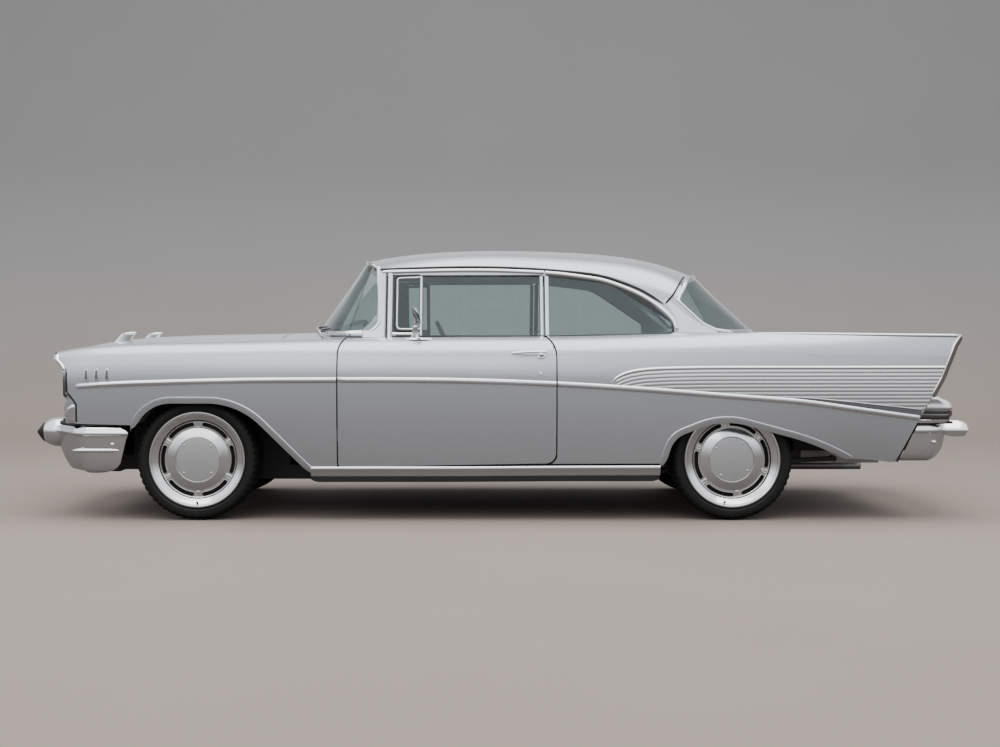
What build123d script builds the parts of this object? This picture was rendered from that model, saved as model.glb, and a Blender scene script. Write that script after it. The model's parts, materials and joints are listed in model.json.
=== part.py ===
"""A two-door hardtop coupe of the late 1950s: steel body panels on a ladder frame, four wheels, doors, hood and lid."""
from build123d import *
import math
import os

# Frame: X runs rearwards along the car, Y to the car's right, Z up; the origin is on the ground at mid-length.
# Left-hand pieces lie at negative Y. Every size is in millimetres.

# ---- driving dimensions ----
WHEELBASE = 2880.0
FRONT_OVERHANG = 952.0
REAR_OVERHANG = 1308.0
TRACK = 1470.0              # tyre centre to tyre centre
TYRE_RADIUS = 327.0
TYRE_WIDTH = 238.0
RIM_RADIUS = 258.0          # outer edge of the rim flange
GAP = 7.0                   # shut line between a moving panel and its neighbour
SKIN = 5.0                  # pressed panel, with its flanges
SEAT = 0.3                  # clearance of a piece that sits on another

LENGTH = FRONT_OVERHANG + WHEELBASE + REAR_OVERHANG
X_NOSE = -LENGTH / 2
X_TAIL = LENGTH / 2
XF = X_NOSE + FRONT_OVERHANG            # front axle
XR = XF + WHEELBASE                     # rear axle
Y_WHEEL = TRACK / 2
Z_AXLE = TYRE_RADIUS

# door shut lines, in side view
X_DOOR_FRONT = XF + 763.0
X_DOOR_REAR = XF + 1928.0
Z_SILL_FRONT = 284.0
Z_SILL_REAR = 305.0
Z_BELT = 986.0
X_POST = XF + 1005.0                    # rear edge of the windscreen pillar

# ---- the body side, as sections across the car ----
# Each row: x, then height and half-width of the bottom edge, of the widest line, of the shoulder,
# of the outer top edge (fender crown, belt, fin), and of the inner edge beside the hood, cabin or deck,
# and last the height of the hood, cowl or deck at the car's middle.
BODY_SIDE = [
    # x           z_bot w_bot  z_mid w_mid  z_sh w_sh   z_top w_top  z_in w_in  z_crown
    (XF - 790.0, 480, 832, 735, 850, 858, 828, 901, 768, 886, 597, 926),
    (XF - 560.0, 470, 868, 738, 886, 872, 866, 938, 785, 938, 612, 968),
    (XF, 430, 892, 745, 920, 886, 899, 960, 798, 968, 648, 1000),
    (XF + 618.0, 290, 884, 756, 934, 898, 908, 975, 796, 982, 690, 1014),
    (XF + 1320.0, 215, 880, 757, 938, 903, 909, 988, 786, 988, 700, 1016),
    (XF + 2020.0, 215, 880, 744, 938, 904, 909, 992, 788, 990, 692, 1020),
    (XR - 260.0, 225, 882, 728, 937, 906, 911, 1006, 812, 1000, 668, 1028),
    (XR + 340.0, 315, 878, 705, 932, 902, 912, 1009, 848, 972, 644, 1000),
    (XR + 840.0, 315, 862, 690, 918, 892, 902, 1004, 862, 888, 636, 914),
    (XR + 1240.0, 315, 848, 680, 900, 884, 890, 1000, 862, 800, 630, 826),
]
HOOD_ROWS = BODY_SIDE[:5]
DECK_ROWS = BODY_SIDE[5:]
TOP_EDGE_WIDTH = 24.0       # flat along the fender crown and the fin
OPEN_BELOW = 120.0          # how far the hollow runs past the skin's free edges
PANEL_THICK = 22.0          # hood, cowl, deck and lid, with their inner pressings
GUTTER_REACH = 18.0
GUTTER_INSET = 24.0
GUTTER_THICK = 6.0
X_HOOD_FRONT = XF - 784.0
X_HOOD_REAR = XF + 428.0
X_LID_FRONT = XR + 356.0
X_LID_REAR = XR + 1070.0
X_DECK_FRONT = XR - 130.0

# ---- side-view outlines: x, z, corner radius ----
Z_TOP_CUT = 1100.0          # above every body panel
FRONT_ARCH = [
    (XF - 357.0, 100, 0),
    (XF - 355.0, 656, 225),
    (XF + 239.0, 656, 420),
    (XF + 600.0, 295, 60),
    (XF + 713.0, 222, 0),
    (XF + 713.0, 100, 0),
]
REAR_ARCH = [
    (XR - 427.0, 100, 0),
    (XR - 392.0, 262, 40),
    (XR - 342.0, 464, 150),
    (XR - 66.0, 574, 406),
    (XR + 430.0, 440, 1500),
    (XR + 662.0, 328, 12),
    (XR + 668.0, 100, 0),
]
FENDER_OUTLINE = [
    (XF - 900.0, Z_TOP_CUT, 0),
    (XF - 776.0, 900, 0),
    (XF - 702.0, 803, 20),
    (XF - 697.0, 690, 20),
    (XF - 646.0, 625, 12),
    (XF - 649.0, 521, 0),
    (XF - 350.0, 515, 0),
    (XF - 350.0, 100, 0),
    (XF + 560.0, 280, 0),
    (XF + 858.0, 281, 0),
    (XF + 858.0, Z_TOP_CUT, 0),
]
QUARTER_OUTLINE = [
    (XF + 1848.0, Z_TOP_CUT, 0),
    (XF + 1848.0, 309, 0),
    (XR + 640.0, 312, 0),
    (XR + 871.0, 316, 0),
    (XR + 973.0, 519, 0),
    (XR + 1112.0, 766, 60),
    (XR + 1188.0, 940, 40),
    (XR + 1226.0, 992, 0),
    (XR + 1290.0, Z_TOP_CUT, 0),
]
X_TRIM_END = XF + 2430.0                # end of the thick cabin side behind the door
# Bright spear along the body side: x, z of its middle line
SPEAR = [
    (XF - 645.0, 721), (XF - 503.0, 731), (XF - 237.0, 742), (XF + 296.0, 755), (XF + 562.0, 757),
    (XF + 1362.0, 755), (XF + 1927.0, 736), (XR - 453.0, 705), (XR + 80.0, 663), (XR + 347.0, 642),
    (XR + 613.0, 606), (XR + 992.0, 554),
]
# height and how far it stands out: a low band with a narrow ridge along its middle
SPEAR_STEPS = [(20.0, 4.5), (5.0, 7.7)]
SPEAR_DOOR_START = 45.0     # behind the door's front edge, so that the spear clears the fender as the door swings
X_SILL_FRONT = XF + 713.0
X_SILL_REAR = XR - 425.0
TAIL_WALL = 12.0            # wall that closes the fin's rear end

# ---- greenhouse ----
# The side glass leans in: half-width at the belt and at the drip rail.
W_GLASS_BELT = 752.0
Z_GLASS_BELT = 980.0
W_GLASS_RAIL = 626.0
Z_GLASS_RAIL = 1360.0
GLASS = 5.0
ROOF_THICK = 26.0
# Roof: x, height of the drip rail, half-width and height where the crown meets the corner, crown height.
ROOF = [
    (XF + 850.0, 1340, 470, 1383, 1420),
    (XF + 975.0, 1354, 480, 1408, 1448),
    (XF + 1270.0, 1366, 500, 1440, 1482),
    (XF + 1720.0, 1366, 500, 1450, 1493),
    (XF + 2120.0, 1342, 500, 1430, 1479),
    (XF + 2420.0, 1262, 510, 1392, 1447),
    (XF + 2620.0, 1128, 540, 1322, 1399),
    (XF + 2790.0, 1015, 560, 1215, 1338),
]
Z_WINDOW_TOP = 1331.0
ROOF_OUTLINE = [
    (XF + 752.0, 1500, 0),
    (XF + 963.0, 1367, 10),
    (XF + 963.0, 1112, 60),
    (XF + 883.0, 1018, 0),
    (XF + 883.0, 940, 0),
    (X_POST, 940, 0),
    (X_POST, Z_WINDOW_TOP, 25),
    (XF + 1880.0, Z_WINDOW_TOP - 6, 500),
    (XF + 2240.0, 1285, 300),
    (XF + 2571.0, 1068, 20),
    (XF + 2571.0, 940, 0),
    (XF + 2850.0, 940, 0),
    (XF + 2800.0, 1020, 40),
    (XF + 2744.0, 1047, 60),
    (XF + 2597.0, 1190, 12),
    (XF + 2678.0, 1299, 60),
    (XF + 2783.0, 1352, 0),
    (XF + 2900.0, 1500, 0),
]
X_GLASS_SPLIT = XF + 1880.0             # between the door glass and the quarter glass
SPLIT_GAP = 17.0
Z_GLASS_LOW = 950.0
SCREEN_OUTLINE = [
    (XF + 500.0, 1500, 0),
    (XF + 745.0, 1500, 0),
    (XF + 956.0, 1366, 8),
    (XF + 956.0, 1112, 60),
    (XF + 876.0, 1020, 0),
    (XF + 876.0, 900, 0),
    (XF + 500.0, 900, 0),
]
REAR_SCREEN_OUTLINE = [
    (XF + 2860.0, 940, 0),
    (XF + 2806.0, 1023, 40),
    (XF + 2750.0, 1050, 60),
    (XF + 2604.0, 1190, 12),
    (XF + 2684.0, 1294, 60),
    (XF + 2787.0, 1346, 0),
    (XF + 2904.0, 1494, 0),
    (XF + 3500.0, 1494, 0),
    (XF + 3500.0, 940, 0),
]
# Windscreen and rear glass: height, then x and half-width of four points of the plan curve,
# from the middle round the corner to the free end.
WINDSCREEN = [
    (975.0, (XF + 548.0, 0), (XF + 655.0, 560), (XF + 790.0, 735), (XF + 1000.0, 752)),
    (1440.0, (XF + 882.0, 0), (XF + 915.0, 470), (XF + 945.0, 560), (XF + 1010.0, 598)),
]
REAR_GLASS = [
    (985.0, (XR + 290.0, 0), (XR + 145.0, 430), (XR - 72.0, 690), (XR - 210.0, 742)),
    (1390.0, (XR - 160.0, 0), (XR - 200.0, 400), (XR - 270.0, 560), (XR - 390.0, 640)),
]

# ---- doors ----
W_DOOR_INNER = 790.0
W_DOOR_BELT_INNER = 728.0
W_PILLAR_NOTCH = 762.0
Z_DOOR_WAIST = 870.0
DOOR_REAR_RELIEF = 15.0     # the inner door ends this far ahead of the skin, so that it clears as it swings
W_DOOR_SKIN_INNER = 898.0
X_DOOR_HINGE = X_DOOR_FRONT + 14.0
W_DOOR_HINGE = 914.0
Z_DOOR_HINGES = (430.0, 770.0)

# ---- underside ----
FLOOR_THICK = 8.0
# underside of the floor: x, z
FLOOR = [(XF + 648.0, 255), (XR - 442.0, 255), (XR - 302.0, 500), (XR + 378.0, 500), (XR + 438.0, 420),
         (XR + 1068.0, 420)]
W_FLOOR = 760.0
W_TUB = 596.0               # inside of the rear wheel housings
RAIL_HEIGHT = 70.0
RAIL_INNER = 450.0
RAIL_OUTER = 520.0
FRONT_RAIL_INNER = 370.0
FRONT_RAIL_OUTER = 440.0
FRONT_RAIL_TOP = 265.0
HORN_RISE = 54.0             # how far the frame's front ends rise over the suspension's part
HORN_BEND = (XF - 340.0, XF - 200.0)
X_FRAME_FRONT = XF - 740.0
TUNNEL_W = 170.0
TUNNEL_TOP = 385.0
X_FIREWALL = XF + 658.0
Z_FIREWALL_TOP = 960.0
HOUSING_RADIUS = 404.0
REAR_HOUSING_RADIUS = 372.0
HOUSING_THICK = 6.0
W_HOUSING_FRONT = 445.0
W_APRON = 700.0
Y_KINGPIN = 655.0
SPINDLE = 24.0
FIREWALL_THICK = 10.0
X_DASH_FRONT = XF + 690.0
W_COWL_WING = 640.0
Z_FLOOR_TOP = 255.0 + FLOOR_THICK
Z_POST_FOOT = 285.0
Z_TAIL_TOP = 786.0
Z_RAIL = 255.0 - SEAT - RAIL_HEIGHT
# x, half-width, bottom, top
CROSSMEMBERS = [
    (XF - 570.0, 440, 227, 255),
    (XF + 620.0, 520, 222, 254),
    (XR - 520.0, 520, 222, 254),
    (XR + 400.0, 520, 350, 400),
]

# ---- wheels: reach outboard of the tyre's middle, radius ----
WHEEL_SECTION = [
    (-40, SPINDLE + SEAT), (36, SPINDLE + SEAT), (36, 0), (98, 0), (98, 118), (92, 123), (80, 167), (80, 206),
    (58, 206), (58, 212), (96, 212), (112, 244), (119, RIM_RADIUS), (112, RIM_RADIUS), (104, 245), (-104, 245),
    (-112, RIM_RADIUS), (-119, RIM_RADIUS), (-112, 238), (-96, 232), (46, 214), (46, 60), (-40, 50),
]
TYRE_SECTION = [
    (-103, 245 + SEAT), (-111, RIM_RADIUS + 6), (-TYRE_WIDTH / 2, 285), (-112, 312), (-92, 322), (-45, TYRE_RADIUS),
    (45, TYRE_RADIUS), (92, 322), (112, 312), (TYRE_WIDTH / 2, 285), (111, RIM_RADIUS + 6), (103, 245 + SEAT),
]
SLOTS = 6
SLOT_INNER = 179.0
SLOT_OUTER = 201.0
SLOT_REACH = (40.0, 90.0)
SPOKE_WIDTH = 40.0

# ---- bumpers, lamps, cabin ----
PLATE_SPACING = 178.0
PLATE_HOLE = 3.5
Z_PLATE = 640.0
W_BUMPER = 886.0
W_BUMPER_REAR = 872.0
BUMPER_THICK = 46.0
X_BUMPER_FRONT = X_NOSE + 98.0
BUMPER_FRONT_OUTLINE = [
    (X_NOSE, 540, 0),
    (XF - 700.0, 508, 60),
    (XF - 352.0, 500, 20),
    (XF - 400.0, 262, 40),
    (XF - 640.0, 254, 60),
    (XF - 745.0, 400, 60),
    (X_NOSE, 400, 0),
]
BUMPER_REAR_OUTLINE = [
    (XR + 890.0, 319, 20),
    (XR + 975.0, 506, 20),
    (XR + 1160.0, 522, 0),
    (X_TAIL, 524, 0),
    (X_TAIL, 348, 0),
    (XR + 1165.0, 338, 20),
    (XR + 1035.0, 315, 0),
]
# the rounded guard that stands behind each end of the rear bumper: x, z, corner radius
GUARD_OUTLINE = [
    (XR + 1120.0, 430, 0),
    (XR + 1120.0, 518, 0),
    (XR + 1190.0, 522, 0),
    (XR + 1190.0, 537, 6),
    (X_TAIL - 45.0, 535, 30),
    (X_TAIL, 508, 14),
    (X_TAIL - 4.0, 478, 14),
    (X_TAIL - 22.0, 442, 14),
]
Y_GUARD = (668.0, 772.0)
# bullets on the front bumper: x, radius
BULLET = [(X_NOSE + 161.0, 80.0), (X_NOSE + 110.0, 80.0), (X_NOSE + 72.0, 68.0), (X_NOSE + 38.0, 45.0), (X_NOSE, 4.0)]
Y_BULLET = 540.0
Z_BULLET = 458.0
W_TAIL_LAMP = 740.0
# tail lamp pod behind the quarter's lower rear edge: x, z, corner radius
TAIL_LAMP = [
    (XR + 1179.0, 528, 8), (XR + 1185.0, 585, 20), (XR + 1183.0, 640, 22), (XR + 1140.0, 650, 20),
    (XR + 1098.0, 668, 0),
]
# The lamp hood ahead of the fender's front edge, with the bright piece below it: x, z of its front edge
LAMP_FRONT = [(XF - 650.0, 530), (XF - 704.0, 530), (XF - 706.0, 655), (XF - 719.0, 676), (XF - 719.0, 800),
              (XF - 740.0, 832), (XF - 776.0, 866), (XF - 779.0, 893)]
Y_HEADLAMP = 732.0
Z_HEADLAMP = 770.0
HEADLAMP_RADIUS = 89.0
HEADLAMP_RIM = 14.0
HEADLAMP_DOME = 16.0
LAMP_HOOD_THICK = 16.0
X_LAMP_BACK = XF - 690.0
X_GRILLE = XF - 735.0
Z_GRILLE = (556.0, 860.0)
Z_GRILLE_BAR = 690.0
GRILLE_FOOT = (600, 840)     # heights between which the grille's ends stand on the lamp's backing plate
GRILLE_BAR_RADIUS = 21.0
Y_PARKING_LAMP = 486.0
PARKING_LAMP_RADIUS = 44.0
W_DASH = 722.0
Z_DASH_TOP = 952.0
W_SEAT = 690.0
W_SEAT_REAR = 590.0
WHEEL_HUB = (XF + 1365.0, -380.0, 887.0)
COLUMN_SLOPE = 25.0
STEERING_WHEEL_RADIUS = 200.0


# ---- helpers ----
def pt(x, w, z):
    """A point on the left side: w is the distance from the car's middle."""
    return Vector(x, -w, z)


def both(shape):
    """A left-hand shape with its mirror image on the right, as one compound."""
    return Compound(children=[*solids_of(shape), *solids_of(mirror(shape, Plane.XZ))])


def solids_of(shape):
    return list(shape.solids())


def right_of(shape):
    return mirror(shape, Plane.XZ)


def prism_y(points, radii, y0, y1):
    """A side-view outline with rounded corners, carried across the car from y0 to y1.
    radii holds one radius for each corner, in the points' order."""
    flat = [(x, z) for x, z in points]
    face = rounded_face(flat, radii)
    placed = Plane.XZ.offset(-y0) * face
    return extrude(placed, amount=y1 - y0, dir=(0, 1, 0))


def rounded_face(points, radii):
    """A closed outline in a plane, whose corner at each point has the radius beside it, 0 for a sharp one."""
    edges = []
    n = len(points)
    starts, ends = [], []
    for i, (p, r) in enumerate(zip(points, radii)):
        a, b, c = Vector(*points[i - 1]), Vector(*p), Vector(*points[(i + 1) % n])
        u, v = (a - b).normalized(), (c - b).normalized()
        if r <= 0:
            starts.append(b)
            ends.append(b)
            continue
        half = math.acos(max(-1.0, min(1.0, u.dot(v)))) / 2
        reach = r / math.tan(half)
        starts.append(b + u * reach)
        ends.append(b + v * reach)
        middle = b + (u + v).normalized() * (r / math.sin(half) - r)
        edges.append(Edge.make_three_point_arc(starts[-1], middle, ends[-1]))
    for i in range(n):
        if (ends[i - 1] - starts[i]).length > 1e-6:
            edges.append(Edge.make_line(ends[i - 1], starts[i]))
    return Face(Wire(edges))


def box(x0, x1, y0, y1, z0, z1):
    return Pos((x0 + x1) / 2, (y0 + y1) / 2, (z0 + z1) / 2) * Box(abs(x1 - x0), abs(y1 - y0), abs(z1 - z0))


def prism_x(points, x0, x1):
    """A closed outline of (y, z) points carried along the car from x0 to x1."""
    wire = Wire([Edge.make_line(Vector(x0, *points[i - 1]), Vector(x0, *points[i])) for i in range(len(points))])
    return extrude(Face(wire), amount=x1 - x0, dir=(1, 0, 0))


def rod(a, b, radius):
    """A round bar between two points."""
    a, b = Vector(*a), Vector(*b)
    return Solid.make_cylinder(radius, (b - a).length, Plane(origin=a, z_dir=(b - a)))


# ---- body side ----
def side_section(row, inset, grow):
    """One section of the left body side as a closed face: a line below, three arcs that meet smoothly
    up the side, the top edge, and the way in to the hood, cabin or deck.
    inset moves the skin inwards, and grow carries the free edges past the skin's."""
    x, z_bot, w_bot, z_mid, w_mid, z_sh, w_sh, z_top, w_top, z_in, w_in, _ = row
    drop = (z_top - z_in) / (w_top - TOP_EDGE_WIDTH - w_in)
    low = z_bot - grow
    radius = ((w_mid - w_bot) ** 2 + (z_mid - z_bot) ** 2) / (2 * (w_mid - w_bot))
    w_low = w_mid - radius + math.sqrt((radius - inset) ** 2 - (z_mid - low) ** 2)
    p0 = pt(x, w_in - grow, low)
    p1 = pt(x, w_low, low)
    p2 = pt(x, w_mid - inset, z_mid)
    p3 = pt(x, w_sh - inset, z_sh)
    p4 = pt(x, w_top - 0.8 * inset, z_top - inset)
    p5 = pt(x, w_top - TOP_EDGE_WIDTH, z_top - inset)
    p6 = pt(x, w_in - grow, z_in - inset - drop * grow)
    lower = Edge.make_tangent_arc(p2, Vector(0, 0, -1), p1)
    upper = Edge.make_tangent_arc(p2, Vector(0, 0, 1), p3)
    crown = Edge.make_tangent_arc(p3, upper % 1, p4)
    lines = [Edge.make_line(a, b) for a, b in ((p0, p1), (p4, p5), (p5, p6), (p6, p0))]
    return Face(Wire([lower, upper, crown, *lines]))


def body_volume(inset=0.0, grow=0.0):
    """The whole left body side as one block, its skin moved in by inset."""
    return Solid.make_loft([side_section(r, inset, grow).outer_wire() for r in BODY_SIDE], False)


def outline_y(outline, y0, y1):
    """A side-view table of x, z and corner radius as a block across the car."""
    return prism_y([(x, z) for x, z, _ in outline], [r for *_, r in outline], y0, y1)


def tail_edge(z):
    """Where the quarter's lower rear edge lies at height z."""
    (x0, z0, _), (x1, z1, _) = QUARTER_OUTLINE[4:6]
    return x0 + (x1 - x0) * (z - z0) / (z1 - z0)


def left_of(outline):
    return outline_y(outline, -1200, 0)


def door_outline(margin):
    """The door's shut line in side view, moved out by margin."""
    return [
        (X_DOOR_FRONT - margin, Z_SILL_FRONT + GAP - margin, 18),
        (X_DOOR_FRONT - margin, 1010 + margin, 120),
        (X_DOOR_REAR + margin, 1010 + margin, 130),
        (X_DOOR_REAR + margin, Z_SILL_REAR + GAP - margin, 55),
    ]


def crowned(rows, narrow, thick, raised=0.0):
    """A panel across the car between the two body sides: an arc on top and a like one below."""
    sections = []
    for x, *_, z_in, w_in, z_crown in rows:
        w = w_in - narrow
        a, b, top = Vector(x, -w, z_in + raised), Vector(x, w, z_in + raised), Vector(x, 0, z_crown + raised)
        down = Vector(0, 0, thick)
        sections.append(Wire([
            Edge.make_three_point_arc(a, top, b),
            Edge.make_line(b, b - down),
            Edge.make_three_point_arc(b - down, top - down, a - down),
            Edge.make_line(a - down, a),
        ]))
    return Solid.make_loft(sections, False)


def glass_half_width(z):
    """How far the side glass stands from the car's middle at height z."""
    share = (z - Z_GLASS_BELT) / (Z_GLASS_RAIL - Z_GLASS_BELT)
    return W_GLASS_BELT + (W_GLASS_RAIL - W_GLASS_BELT) * share


def roof_volume(inset, grow):
    """The roof as a block from the belt up: leaning sides, tight corners and a flat crown."""
    z_base = 930.0 - grow
    sections = []
    for x, z_rail, w_sh, z_sh, z_crown in ROOF:
        w_base = glass_half_width(z_base) - inset
        rail = (glass_half_width(z_rail) - inset, z_rail - 0.5 * inset)
        shoulder = (w_sh - 0.3 * inset, z_sh - inset)
        l_base, r_base = Vector(x, -w_base, z_base), Vector(x, w_base, z_base)
        l_rail, r_rail = Vector(x, -rail[0], rail[1]), Vector(x, rail[0], rail[1])
        l_sh, r_sh = Vector(x, -shoulder[0], shoulder[1]), Vector(x, shoulder[0], shoulder[1])
        crown = Edge.make_three_point_arc(l_sh, Vector(x, 0, z_crown - inset), r_sh)
        sections.append(Wire([
            Edge.make_line(r_base, l_base),
            Edge.make_line(l_base, l_rail),
            Edge.make_tangent_arc(l_sh, (crown % 0) * -1, l_rail),
            crown,
            Edge.make_tangent_arc(r_sh, crown % 1, r_rail),
            Edge.make_line(r_rail, r_base),
        ]))
    return Solid.make_loft(sections, False)


def wrapped_glass(rows, inward):
    """A sheet of glass wrapped round in plan, from its lower curve to its upper one.
    inward is +1 where the cabin lies behind the glass and -1 where it lies ahead of it."""
    sections = []
    for z, middle, bend, corner, end in rows:
        edges = []
        for t in (0.0, GLASS):
            m = Vector(middle[0] + inward * t, 0, z)
            b = [Vector(bend[0] + inward * t, s * (bend[1] - 0.3 * t), z) for s in (-1, 1)]
            c = [Vector(corner[0] + inward * 0.7 * t, s * (corner[1] - 0.7 * t), z) for s in (-1, 1)]
            e = [Vector(end[0], s * (end[1] - t), z) for s in (-1, 1)]
            arc = Edge.make_three_point_arc(b[0], m, b[1])
            left = Edge.make_tangent_arc(b[0], (arc % 0) * -1, c[0])
            right = Edge.make_tangent_arc(b[1], arc % 1, c[1])
            edges.append(([Edge.make_line(e[0], c[0]), left, arc, right, Edge.make_line(c[1], e[1])], e))
        (outer, e_out), (inner, e_in) = edges
        caps = [Edge.make_line(e_out[0], e_in[0]), Edge.make_line(e_out[1], e_in[1])]
        sections.append(Wire([*outer, caps[1], *inner, caps[0]]))
    return Solid.make_loft(sections, True)


def side_glass(outline, grow):
    """A sheet of leaning side glass, grown by grow, trimmed to a side-view outline, on the left."""
    top, low = Z_GLASS_RAIL + 60, Z_GLASS_BELT - 80
    out, back = grow, GLASS + grow
    lean = [(-glass_half_width(low) - out, low), (-glass_half_width(top) - out, top),
            (-glass_half_width(top) + back, top), (-glass_half_width(low) + back, low)]
    return prism_x(lean, XF, XR + 200) & left_of(outline)


def ring_y(x, z, r_out, r_in, y0, y1):
    """A round band about an axle line."""
    plane = Plane(origin=(x, y0, z), z_dir=(0, 1, 0))
    return Solid.make_cylinder(r_out, y1 - y0, plane) - Solid.make_cylinder(r_in, y1 - y0, plane)


def band(points, up):
    """A side-view band of even height standing on a line of points."""
    return [*points, *[(x, z + up) for x, z in reversed(points)]]


def one(name, shape):
    """A shape that should be one solid, with a note printed where it isn't."""
    solids = solids_of(shape)
    if len(solids) != 1:
        print(name, "has", len(solids), "solids:", [round(s.volume) for s in solids])
    return shape


# ---- body panels ----
def make_side_panels(nodes):
    """Fender, quarter, sill and door of one side, mirrored for the other."""
    outer = body_volume()
    hollow = body_volume(SKIN, OPEN_BELOW)
    door_hole = left_of(door_outline(GAP))

    core = body_volume(SKIN / 2)
    ribs = []
    for height, proud in SPEAR_STEPS:
        line = [(x, z - height / 2) for x, z in SPEAR]
        rib = prism_y(band(line, height), [0] * (2 * len(SPEAR)), -1200, -W_FLOOR)
        ribs.append((rib & body_volume(-proud)) - core)
    spear = ribs[0] + ribs[1]

    fender = ((outer - hollow) + spear) & left_of(FENDER_OUTLINE)
    fender = one("fender", fender - door_hole - left_of(FRONT_ARCH))

    tail_room = [(x - (TAIL_WALL if x > XR + 700 else 0), z, r) for x, z, r in QUARTER_OUTLINE]
    cavity = hollow & left_of(tail_room) & box(X_TRIM_END, X_TAIL, -1200, 0, 0, 1200)
    cabin_side = box(0, X_TRIM_END, -W_FLOOR, 0, 0, 1200)
    quarter = ((outer & left_of(QUARTER_OUTLINE)) - cavity - cabin_side) + (spear & left_of(QUARTER_OUTLINE))
    quarter = quarter - door_hole
    quarter = one("quarter", quarter - left_of(REAR_ARCH))

    sill_top = [(X_SILL_FRONT, Z_SILL_FRONT - GAP), (X_SILL_REAR, Z_SILL_REAR - GAP + 2)]
    sill_bar = [(X_SILL_FRONT, 100), (X_SILL_REAR, 100), sill_top[1], sill_top[0]]
    sill = outer & prism_y(sill_bar, [0] * 4, -1200, -W_FLOOR)
    sill = one("sill", sill - door_hole - left_of(REAR_ARCH))

    door = outer & left_of(door_outline(0))
    inside = prism_x([(0, 0), (-W_DOOR_INNER, 0), (-W_DOOR_INNER, Z_DOOR_WAIST), (-W_DOOR_BELT_INNER, Z_BELT),
                      (-W_DOOR_BELT_INNER, 1200), (0, 1200)], X_NOSE, X_TAIL)
    pillar_room = box(X_NOSE, X_POST + 2 * GAP, -W_PILLAR_NOTCH, 0, 800, 1200)
    swing_relief = box(X_DOOR_REAR - DOOR_REAR_RELIEF, X_TAIL, -W_DOOR_SKIN_INNER, 0, 0, 1200)
    door = door - inside - pillar_room - swing_relief - door_edge_round()
    door_spear = spear & box(X_DOOR_FRONT + SPEAR_DOOR_START, X_DOOR_REAR, -1200, 0, 0, 1200)
    door = one("door", (door - window_slot()) + door_spear)

    nodes["fender_left"] = fender
    nodes["quarter_left"] = quarter
    nodes["door_left"] = door
    for name in ("fender", "quarter", "door"):
        nodes[name + "_right"] = right_of(nodes[name + "_left"])
    nodes["sills"] = both(sill)


def door_edge_round():
    """What the door's outer front edge loses so that it turns past the fender: a thin wedge."""
    wedge = [(-1200, X_DOOR_FRONT - 1), (-W_DOOR_HINGE - 8, X_DOOR_FRONT - 1), (-1200, X_DOOR_FRONT + 18)]
    wire = Wire([Edge.make_line(Vector(wedge[i - 1][1], wedge[i - 1][0], 0), Vector(wedge[i][1], wedge[i][0], 0))
                 for i in range(3)])
    return extrude(Face(wire), amount=1200, dir=(0, 0, 1))


def door_glass_outline(grow):
    """The door's glass in side view, grown by grow, from the pillar to the split."""
    top = Z_WINDOW_TOP - GAP
    return [
        (X_POST + GAP - grow, Z_GLASS_LOW - grow, 0),
        (X_POST + GAP - grow, top, 22),
        (X_GLASS_SPLIT - SPLIT_GAP / 2 + grow, top - 5, 10),
        (X_GLASS_SPLIT - SPLIT_GAP / 2 + grow, Z_GLASS_LOW - grow, 0),
    ]


def window_slot():
    """The slot in the door's belt that the glass stands in."""
    return side_glass(door_glass_outline(SEAT), SEAT)


def make_glass(nodes):
    clear = body_volume(-SEAT, SEAT)
    nodes["door_glass_left"] = one("door_glass", side_glass(door_glass_outline(0), 0))
    nodes["door_glass_right"] = right_of(nodes["door_glass_left"])

    quarter_pane = [
        (X_GLASS_SPLIT + SPLIT_GAP / 2, Z_BELT - 60, 0),
        (X_GLASS_SPLIT + SPLIT_GAP / 2, Z_WINDOW_TOP - 8, 10),
        (XF + 2240.0 - 2, 1285 - 3, 300),
        (XF + 2571.0 - 2, 1068, 20),
        (XF + 2571.0 - 2, Z_BELT - 60, 0),
    ]
    pane = side_glass(quarter_pane, 0) - clear
    pane = max(solids_of(pane), key=lambda s: s.volume)
    nodes["quarter_glass"] = both(pane)

    cowl_top = crowned(HOOD_ROWS, -100, 200, SEAT)
    screen = wrapped_glass(WINDSCREEN, 1) - cowl_top
    front_of_roof = outline_y(SCREEN_OUTLINE, -1000, 1000)
    screen = screen & front_of_roof
    nodes["windscreen"] = one("windscreen", max(solids_of(screen), key=lambda s: s.volume))

    deck_top = crowned(DECK_ROWS, -100, 200, SEAT)
    rear = wrapped_glass(REAR_GLASS, -1) - deck_top
    rear = rear & outline_y(REAR_SCREEN_OUTLINE, -1000, 1000)
    nodes["rear_glass"] = one("rear_glass", max(solids_of(rear), key=lambda s: s.volume))


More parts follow.
